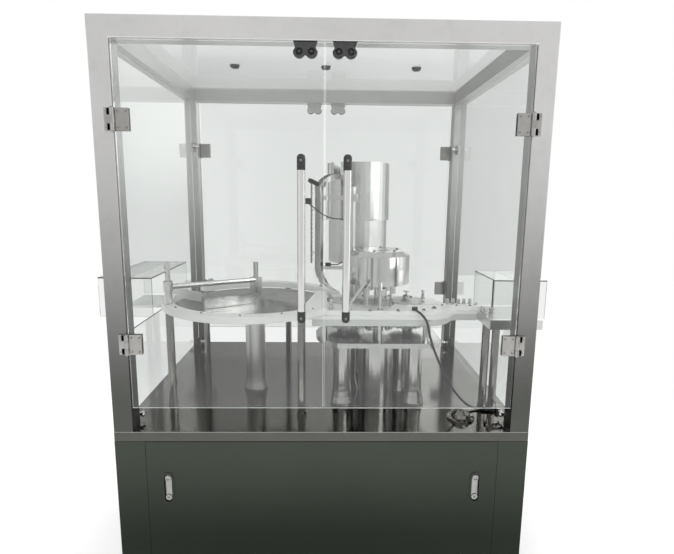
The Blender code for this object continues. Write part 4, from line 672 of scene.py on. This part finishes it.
# knobs: a turned foot and stem with a wide knurled head, radii and heights above the seat
starKnob = [(0.0192, -0.0022), (0.0192, 0.0060), (0.0184, 0.0066), (0.0130, 0.0088), (0.0128, 0.0190),
            (0.0100, 0.0222),
            (0.0070, 0.0236), (0.0036, 0.0250), (0.0034, 0.0330), (0.0100, 0.0336), (0.0112, 0.0344),
            (0.0112, 0.0368),
            (0.0100, 0.0376), (0.0020, 0.0380)]
ringKnob = [(0.0088, -0.0006), (0.0088, 0.0036), (0.0080, 0.0044), (0.0042, 0.0052), (0.0038, 0.0170),
            (0.0106, 0.0180),
            (0.0118, 0.0190), (0.0118, 0.0222), (0.0108, 0.0230), (0.0020, 0.0234)]
tallPin = [(0.0084, -0.0006), (0.0084, 0.0050), (0.0062, 0.0066), (0.0060, 0.0170), (0.0046, 0.0180),
           (0.0046, 0.0250),
           (0.0064, 0.0262), (0.0066, 0.0310), (0.0050, 0.0336), (0.0015, 0.0342)]
stackedBolt = [(0.0078, -0.0006), (0.0078, 0.0022), (0.0056, 0.0026), (0.0056, 0.0060), (0.0070, 0.0064),
               (0.0070, 0.0100),
               (0.0052, 0.0104), (0.0050, 0.0134), (0.0060, 0.0138), (0.0060, 0.0166), (0.0046, 0.0176),
               (0.0012, 0.0178)]
trayKnob = [(0.0095, -0.0006), (0.0095, 0.0050), (0.0075, 0.0060), (0.0070, 0.0110), (0.0092, 0.0120),
            (0.0094, 0.0175),
            (0.0078, 0.0190), (0.0015, 0.0194)]
guidePin = [(0.0106, 0.0002), (0.0106, 0.0042), (0.0066, 0.0064), (0.0064, 0.0420), (0.0086, 0.0424),
            (0.0088, 0.0500),
            (0.0066, 0.0506), (0.0064, 0.0944), (0.0056, 0.0958), (0.0015, 0.0962)]
plates = {"guideTop": 1.0503, "ringTop": 1.0600, "starSeat": 1.050, "guidePin": (0.190, -0.278, 1.0502),
          "ringScrew": 0.0036, "tray": 1.0340, "table": (-0.261, -0.089), "ringMiddle": 0.312,
          "ringKnobs": (134, 98, 60, 38), "stars": {"infeed_wheel": (0.0776, -0.1235),
                                                    "outfeed_wheel": (0.3024, -0.1235)},
          "pins": ((0.372, -0.085), (0.024, -0.262)),
          "stacked": ((0.446, -0.165), (0.466, -0.165), (0.486, -0.165),
                                                                  (0.506, -0.165), (0.528, -0.165)),
          "hexagons": ((0.381, -0.243, 0.0062), (0.072, -0.284, 0.0050), (0.155, -0.284, 0.0050),
                       (0.250, -0.284, 0.0050),
                       (0.340, -0.272, 0.0050), (0.420, -0.198, 0.0036), (0.470, -0.198, 0.0036),
                       (0.520, -0.198, 0.0036),
                       (0.150, -0.040, 0.0050), (0.250, -0.040, 0.0050), (0.330, -0.058, 0.0050)),
          "trayBolts": ((0.556, -0.150), (0.556, -0.215), (0.556, -0.240), (0.556, -0.266)),
          "trayKnob": (0.581, -0.245),
          "ringScrews": (200, 222, 246, 270, 294, 316)}


def makeStationFittings():
    top = plates["guideTop"]
    for body, place in plates["stars"].items():
        makePiece(body + "Knob", [revolve(starKnob, (*place, plates["starSeat"]), columns=48)], "turnedSteel",
                  body)
    radius, centre = plates["ringMiddle"], plates["table"]
    spots = [(centre[0] + radius * math.cos(math.radians(angle)),
              centre[1] + radius * math.sin(math.radians(angle)))
             for angle in plates["ringKnobs"]]
    knobs = [revolve(ringKnob, (*spot, plates["ringTop"]), columns=32) for spot in spots]
    knobs += [revolve(tallPin, (*spot, top), columns=28) for spot in plates["pins"]]
    knobs += [revolve(stackedBolt, (*spot, top), columns=24) for spot in plates["stacked"]]
    knobs += [revolve(stackedBolt, (*spot, plates["tray"]), columns=24) for spot in plates["trayBolts"]]
    knobs.append(revolve(trayKnob, (*plates["trayKnob"], plates["tray"]), columns=32))
    knobs.append(revolve(guidePin, plates["guidePin"], columns=28))
    makePiece("stationKnobs", knobs, "turnedSteel", "frame")
    bolts = [hexBolt((x, y, top), (0, 0, 1), size, turn=x * 9) for x, y, size in plates["hexagons"]]
    for angle in plates["ringScrews"]:
        way = math.radians(angle)
        bolts.append(capScrew((centre[0] + radius * math.cos(way), centre[1] + radius * math.sin(way),
                               plates["ringTop"]),
                              (0, 0, 1), plates["ringScrew"]))
    makePiece("stationBolts", bolts, "screwSteel", "frame")


makeStationFittings()

# chute trimmings: toothed sleeve on the side rod, clamp at the outlet, lever on the mast clamp
chuteTrim = {"rod": (-0.050, -0.0636), "low": 1.181, "high": 1.4895, "pitch": 0.0165, "sensor": (1.394, 1.428),
             "mast": (0.103, -0.049), "clamp": 1.425, "collar": 0.0196, "collarHalf": 0.0136, "lever": 0.006,
             "jaw": ((-0.012, 0.001, 1.4885), (-0.004, 0.001, 1.485), (0.020, 0.006, 1.474),
                     (0.026, 0.007, 1.471))}
clampLever = [(0.0045, -0.001), (0.0045, 0.010), (0.0075, 0.011), (0.0080, 0.020), (0.0068, 0.0225),
              (0.002, 0.0230)]
mastCap = [(0.0124, 1.452), (0.0124, 1.462), (0.0106, 1.4652), (0.004, 1.4660)]


def makeChuteTrim():
    x, y = chuteTrim["rod"]
    start = np.arange(chuteTrim["low"] + 0.012, chuteTrim["high"] - 0.012, chuteTrim["pitch"])
    start = start[(start < chuteTrim["sensor"][0]) | (start > chuteTrim["sensor"][1])]
    tooth = np.array([(0.0032, 0), (0.0052, 0.0004), (0.0052, 0.0030), (0.0032, 0.0034)])
    rows = (tooth[None] + np.stack([np.zeros(len(start)), start], 1)[:, None]).reshape(-1, 2)
    rows = np.concatenate([[(0.0032, chuteTrim["low"])], rows, [(0.0032, chuteTrim["high"])]])
    makePiece("chuteTeeth", [revolve(rows, (x, y, 0), columns=16)], "screwSteel", "frame")
    jaw = circle(0.0075, 4) @ np.array([[0.7071, 0.7071], [-0.7071, 0.7071]]) * (1.0, 1.5)
    clamp = bar(jaw, np.array([(x, y, 0)]) + np.array(chuteTrim["jaw"]), scale=(0.8, 1, 1, 0.8))
    makePiece("outletClamp", [clamp], "blackPlastic", "frame")
    mast, level, wide, half = chuteTrim["mast"], chuteTrim["clamp"], chuteTrim["collar"], chuteTrim["collarHalf"]
    collar = softBox((mast[0] - wide, mast[1] - wide, level - half),
                     (mast[0] + wide, mast[1] + wide, level + half),
                     0.0015, 2, 0.004)
    lever = revolve(clampLever, (mast[0] + chuteTrim["lever"], mast[1] - wide, level), (0, -1, 0), 28)
    cap = revolve(mastCap, (*mast, 0), columns=28)
    makePiece("mastClamp", [collar, lever, cap], "satinSteel", "frame")


makeChuteTrim()

# deck fittings: bolts on both round flanges, a ribbed sleeve where the probe's lead meets its gland
deckFlanges = ((0.460, -0.359, 0.7050, 0.0385, 6), (0.552, -0.407, 0.7040, 0.0232,
                                                    3))  # x, y, top, bolt circle, bolts
leadSleeve = {"start": (0.546, -0.2995, 0.7070), "run": (0.0415, -0.0090, 0), "rings": 41, "radius": 0.0061,
              "rib": 0.07,
              "ribs": 50}


def makeDeckFittings():
    bolts = []
    for x, y, z, radius, count in deckFlanges:
        angle = np.arange(count) * 2 * np.pi / count + 0.4
        bolts += [hexBolt(spot, (0, 0, 1), 0.0036) for spot in
                  np.stack([x + radius * np.cos(angle), y + radius * np.sin(angle), np.full(count, z)], 1)]
    makePiece("deckBolts", bolts, "screwSteel", "frame")
    along = np.linspace(0, 1, leadSleeve["rings"])
    path = np.array([leadSleeve["start"]]) + along[:, None] * np.array([leadSleeve["run"]])
    ribs = 1 + leadSleeve["rib"] * np.sign(np.sin(along * leadSleeve["ribs"]))
    makePiece("leadSleeve", [bar(circle(leadSleeve["radius"], 20), path, scale=ribs)], "cableSheath", "frame")


makeDeckFittings()

# polished glass edges: thin pale skins over the doors' free edges, a painted highlight standing for their bright
# line
glassEdges = {"gap": 0.002, "skin": 0.0002, "deep": 0.0005, "low": 0.780, "high": 1.846, "outer": 0.586,
              "sheet": 0.006}


def makeGlassEdges():
    skin, deep, gap = glassEdges["skin"], glassEdges["deep"], glassEdges["gap"]
    for outward, face, place in ((-1, frontFace, "front"), (1, rearFace, "rear")):
        for side, name in ((-1, "left"), (1, "right")):
            depth = sorted((face + outward * skin, face - outward * (glassEdges["sheet"] + skin)))
            across = sorted((side * (gap - skin), side * (gap + deep)))
            upright = softBox((across[0], depth[0], glassEdges["low"] - skin),
                              (across[1], depth[1], glassEdges["high"] + skin),
                              0.0002)
            along = sorted((side * (gap + deep), side * glassEdges["outer"]))
            foot = softBox((along[0], depth[0], glassEdges["low"] - skin),
                           (along[1], depth[1], glassEdges["low"] + deep),
                           0.0002, 0)
            makePiece(place + "GlassEdge_" + name, [upright, foot], "glassEdgeHighlight",
                      "_".join((name, place, "door")))


makeGlassEdges()
print("station dressed")


# studio: pale floor, a backdrop that is white to the camera and behind glass, graded in mirrors, and soft lamps
studio = {"floorSize": 14.0, "floorColour": (0.86, 0.86, 0.86), "worldLight": 0.75, "insideLight": 0.75,
          "lamps": (("key", (-2.6, -3.0, 3.6), 2.6, 120), ("fill", (3.2, -2.2, 2.4), 2.4, 75),
                    ("top", (0.2, 0.1, 4.2), 3.0, 150)),
          "compass": ((-180, 0.33), (180, 0.33), (-164, 0.20), (-148, 0.24), (-136, 0.55), (-122, 0.34),
                      (-94, 0.42),
                      (-60, 0.46), (-40, 0.62), (-31, 0.50), (-25, 0.10), (-19, 0.50), (-12, 0.56), (-3, 0.36),
                      (8, 0.44), (30, 0.48), (48, 0.44), (59, 0.22), (72, 0.70), (88, 1.0), (104, 0.62),
                      (126, 0.34), (168, 0.38)),
          "gain": 1.90, "overhead": 0.92, "overheadHeights": (0.35, 0.85), "floorNear": 1.4, "floorFar": 3.2,
          "floorHeight": -0.001, "aim": (0, 0, 1.0),
          "window": (0.32, 0.90, 0.29), "windowEdge": (0.94, 0.99), "windowLight": 0.9}


def makeStudio():
    half = studio["floorSize"] / 2
    mesh = bpy.data.meshes.new("floor")
    corners = ((-half, -half), (half, -half), (half, half), (-half, half))
    mesh.from_pydata([(x, y, studio["floorHeight"]) for x, y in corners], [], [(0, 1, 2, 3)])
    floor = bpy.data.objects.new("floor", mesh)
    bpy.context.scene.collection.objects.link(floor)
    paint = bpy.data.materials.new("floorPaint")
    paint.use_nodes = True
    tree = paint.node_tree
    shader = tree.nodes["Principled BSDF"]
    shader.inputs["Base Color"].default_value = (*studio["floorColour"], 1)
    shader.inputs["Roughness"].default_value = 0.9
    # away from the machine the floor runs out into the white backdrop, for every ray that shows it
    reach = addNode(tree, "ShaderNodeVectorMath", operation="LENGTH")
    tree.links.new(addNode(tree, "ShaderNodeTexCoord").outputs["Object"], reach.inputs[0])
    away = addNode(tree, "ShaderNodeMapRange", interpolation_type="SMOOTHSTEP")
    away.inputs["From Min"].default_value = studio["floorNear"]
    away.inputs["From Max"].default_value = studio["floorFar"]
    tree.links.new(reach.outputs["Value"], away.inputs["Value"])
    rays = addNode(tree, "ShaderNodeLightPath")
    seen = mathNode(tree, "ADD", rays.outputs["Is Camera Ray"], rays.outputs["Is Glossy Ray"], True)
    seen = mathNode(tree, "ADD", seen, rays.outputs["Is Transmission Ray"], True)
    white = addNode(tree, "ShaderNodeEmission")
    both = addNode(tree, "ShaderNodeMixShader")
    tree.links.new(mathNode(tree, "MULTIPLY", seen, away.outputs["Result"]), both.inputs["Fac"])
    tree.links.new(shader.outputs[0], both.inputs[1])
    tree.links.new(white.outputs[0], both.inputs[2])
    tree.links.new(both.outputs[0], tree.nodes["Material Output"].inputs["Surface"])
    mesh.materials.append(paint)
    for name, place, size, power in studio["lamps"]:
        light = bpy.data.lights.new(name, "AREA")
        light.size = size
        light.energy = power
        item = bpy.data.objects.new(name, light)
        item.visible_glossy = False
        item.visible_transmission = name == "fill"
        aim = (Vector(studio["aim"]) - Vector(place)).to_track_quat("-Z", "Y")
        item.matrix_world = Matrix.Translation(place) @ aim.to_matrix().to_4x4()
        bpy.context.scene.collection.objects.link(item)
    world = bpy.data.worlds.new("studio")
    bpy.context.scene.world = world
    world.use_nodes = True
    tree = world.node_tree
    light = tree.nodes["Background"]
    # reflections see a studio whose level changes round the compass and is even overhead
    split = addNode(tree, "ShaderNodeSeparateXYZ")
    tree.links.new(addNode(tree, "ShaderNodeTexCoord").outputs["Generated"], split.inputs[0])
    compass = mathNode(tree, "ARCTAN2", split.outputs["X"], mathNode(tree, "MULTIPLY", split.outputs["Y"], -1))
    ramp = addNode(tree, "ShaderNodeValToRGB")
    ramp.color_ramp.interpolation = "EASE"
    tree.links.new(mathNode(tree, "ADD", mathNode(tree, "DIVIDE", compass, 2 * math.pi), 0.5),
                   ramp.inputs["Fac"])
    stops = ramp.color_ramp.elements
    for index, (degrees, level) in enumerate(studio["compass"]):
        stop = (stops[0], stops[-1])[index] if index < 2 else stops.new(degrees / 360 + 0.5)
        stop.color = (level, level, level, 1)
    overhead = addNode(tree, "ShaderNodeMapRange", interpolation_type="SMOOTHSTEP")
    overhead.inputs["From Min"].default_value, overhead.inputs["From Max"].default_value = studio["overheadHeights"]
    tree.links.new(split.outputs["Z"], overhead.inputs["Value"])
    around = addNode(tree, "ShaderNodeMix", data_type="FLOAT")
    tree.links.new(overhead.outputs["Result"], around.inputs["Factor"])
    tree.links.new(mathNode(tree, "MULTIPLY", ramp.outputs["Color"], studio["gain"]), around.inputs["A"])
    around.inputs["B"].default_value = studio["overhead"]
    # and a soft round window behind on the right
    toward = addNode(tree, "ShaderNodeVectorMath", operation="DOT_PRODUCT")
    tree.links.new(addNode(tree, "ShaderNodeTexCoord").outputs["Generated"], toward.inputs[0])
    toward.inputs[1].default_value = studio["window"]
    window = addNode(tree, "ShaderNodeMapRange", interpolation_type="SMOOTHSTEP")
    window.inputs["From Min"].default_value, window.inputs["From Max"].default_value = studio["windowEdge"]
    window.inputs["To Max"].default_value = studio["windowLight"]
    tree.links.new(toward.outputs["Value"], window.inputs["Value"])
    around = mathNode(tree, "ADD", around.outputs["Result"], window.outputs["Result"])
    rays = addNode(tree, "ShaderNodeLightPath")
    mirrored = mathNode(tree, "MINIMUM", rays.outputs["Glossy Depth"], 1)
    shown = addNode(tree, "ShaderNodeMix", data_type="FLOAT")
    tree.links.new(mirrored, shown.inputs["Factor"])
    shown.inputs["A"].default_value = 1
    tree.links.new(around, shown.inputs["B"])
    seen = mathNode(tree, "ADD", rays.outputs["Is Camera Ray"], rays.outputs["Is Glossy Ray"], True)
    seen = mathNode(tree, "ADD", seen, rays.outputs["Is Transmission Ray"], True)
    level = addNode(tree, "ShaderNodeMix", data_type="FLOAT")
    tree.links.new(seen, level.inputs["Factor"])
    level.inputs["A"].default_value = studio["worldLight"]
    tree.links.new(shown.outputs["Result"], level.inputs["B"])
    # light that reaches matt faces through the glass is stronger, as the lamps don't pass it
    inside = mathNode(tree, "MULTIPLY", rays.outputs["Is Transmission Ray"],
                      mathNode(tree, "MINIMUM", rays.outputs["Diffuse Depth"], 1))
    inside = mathNode(tree, "MULTIPLY", inside, studio["insideLight"])
    tree.links.new(mathNode(tree, "ADD", level.outputs["Result"], inside), light.inputs["Strength"])
    light.inputs["Color"].default_value = (1, 1, 1, 1)
    bpy.context.scene.view_settings.view_transform = "Standard"


makeStudio()
print("studio built")
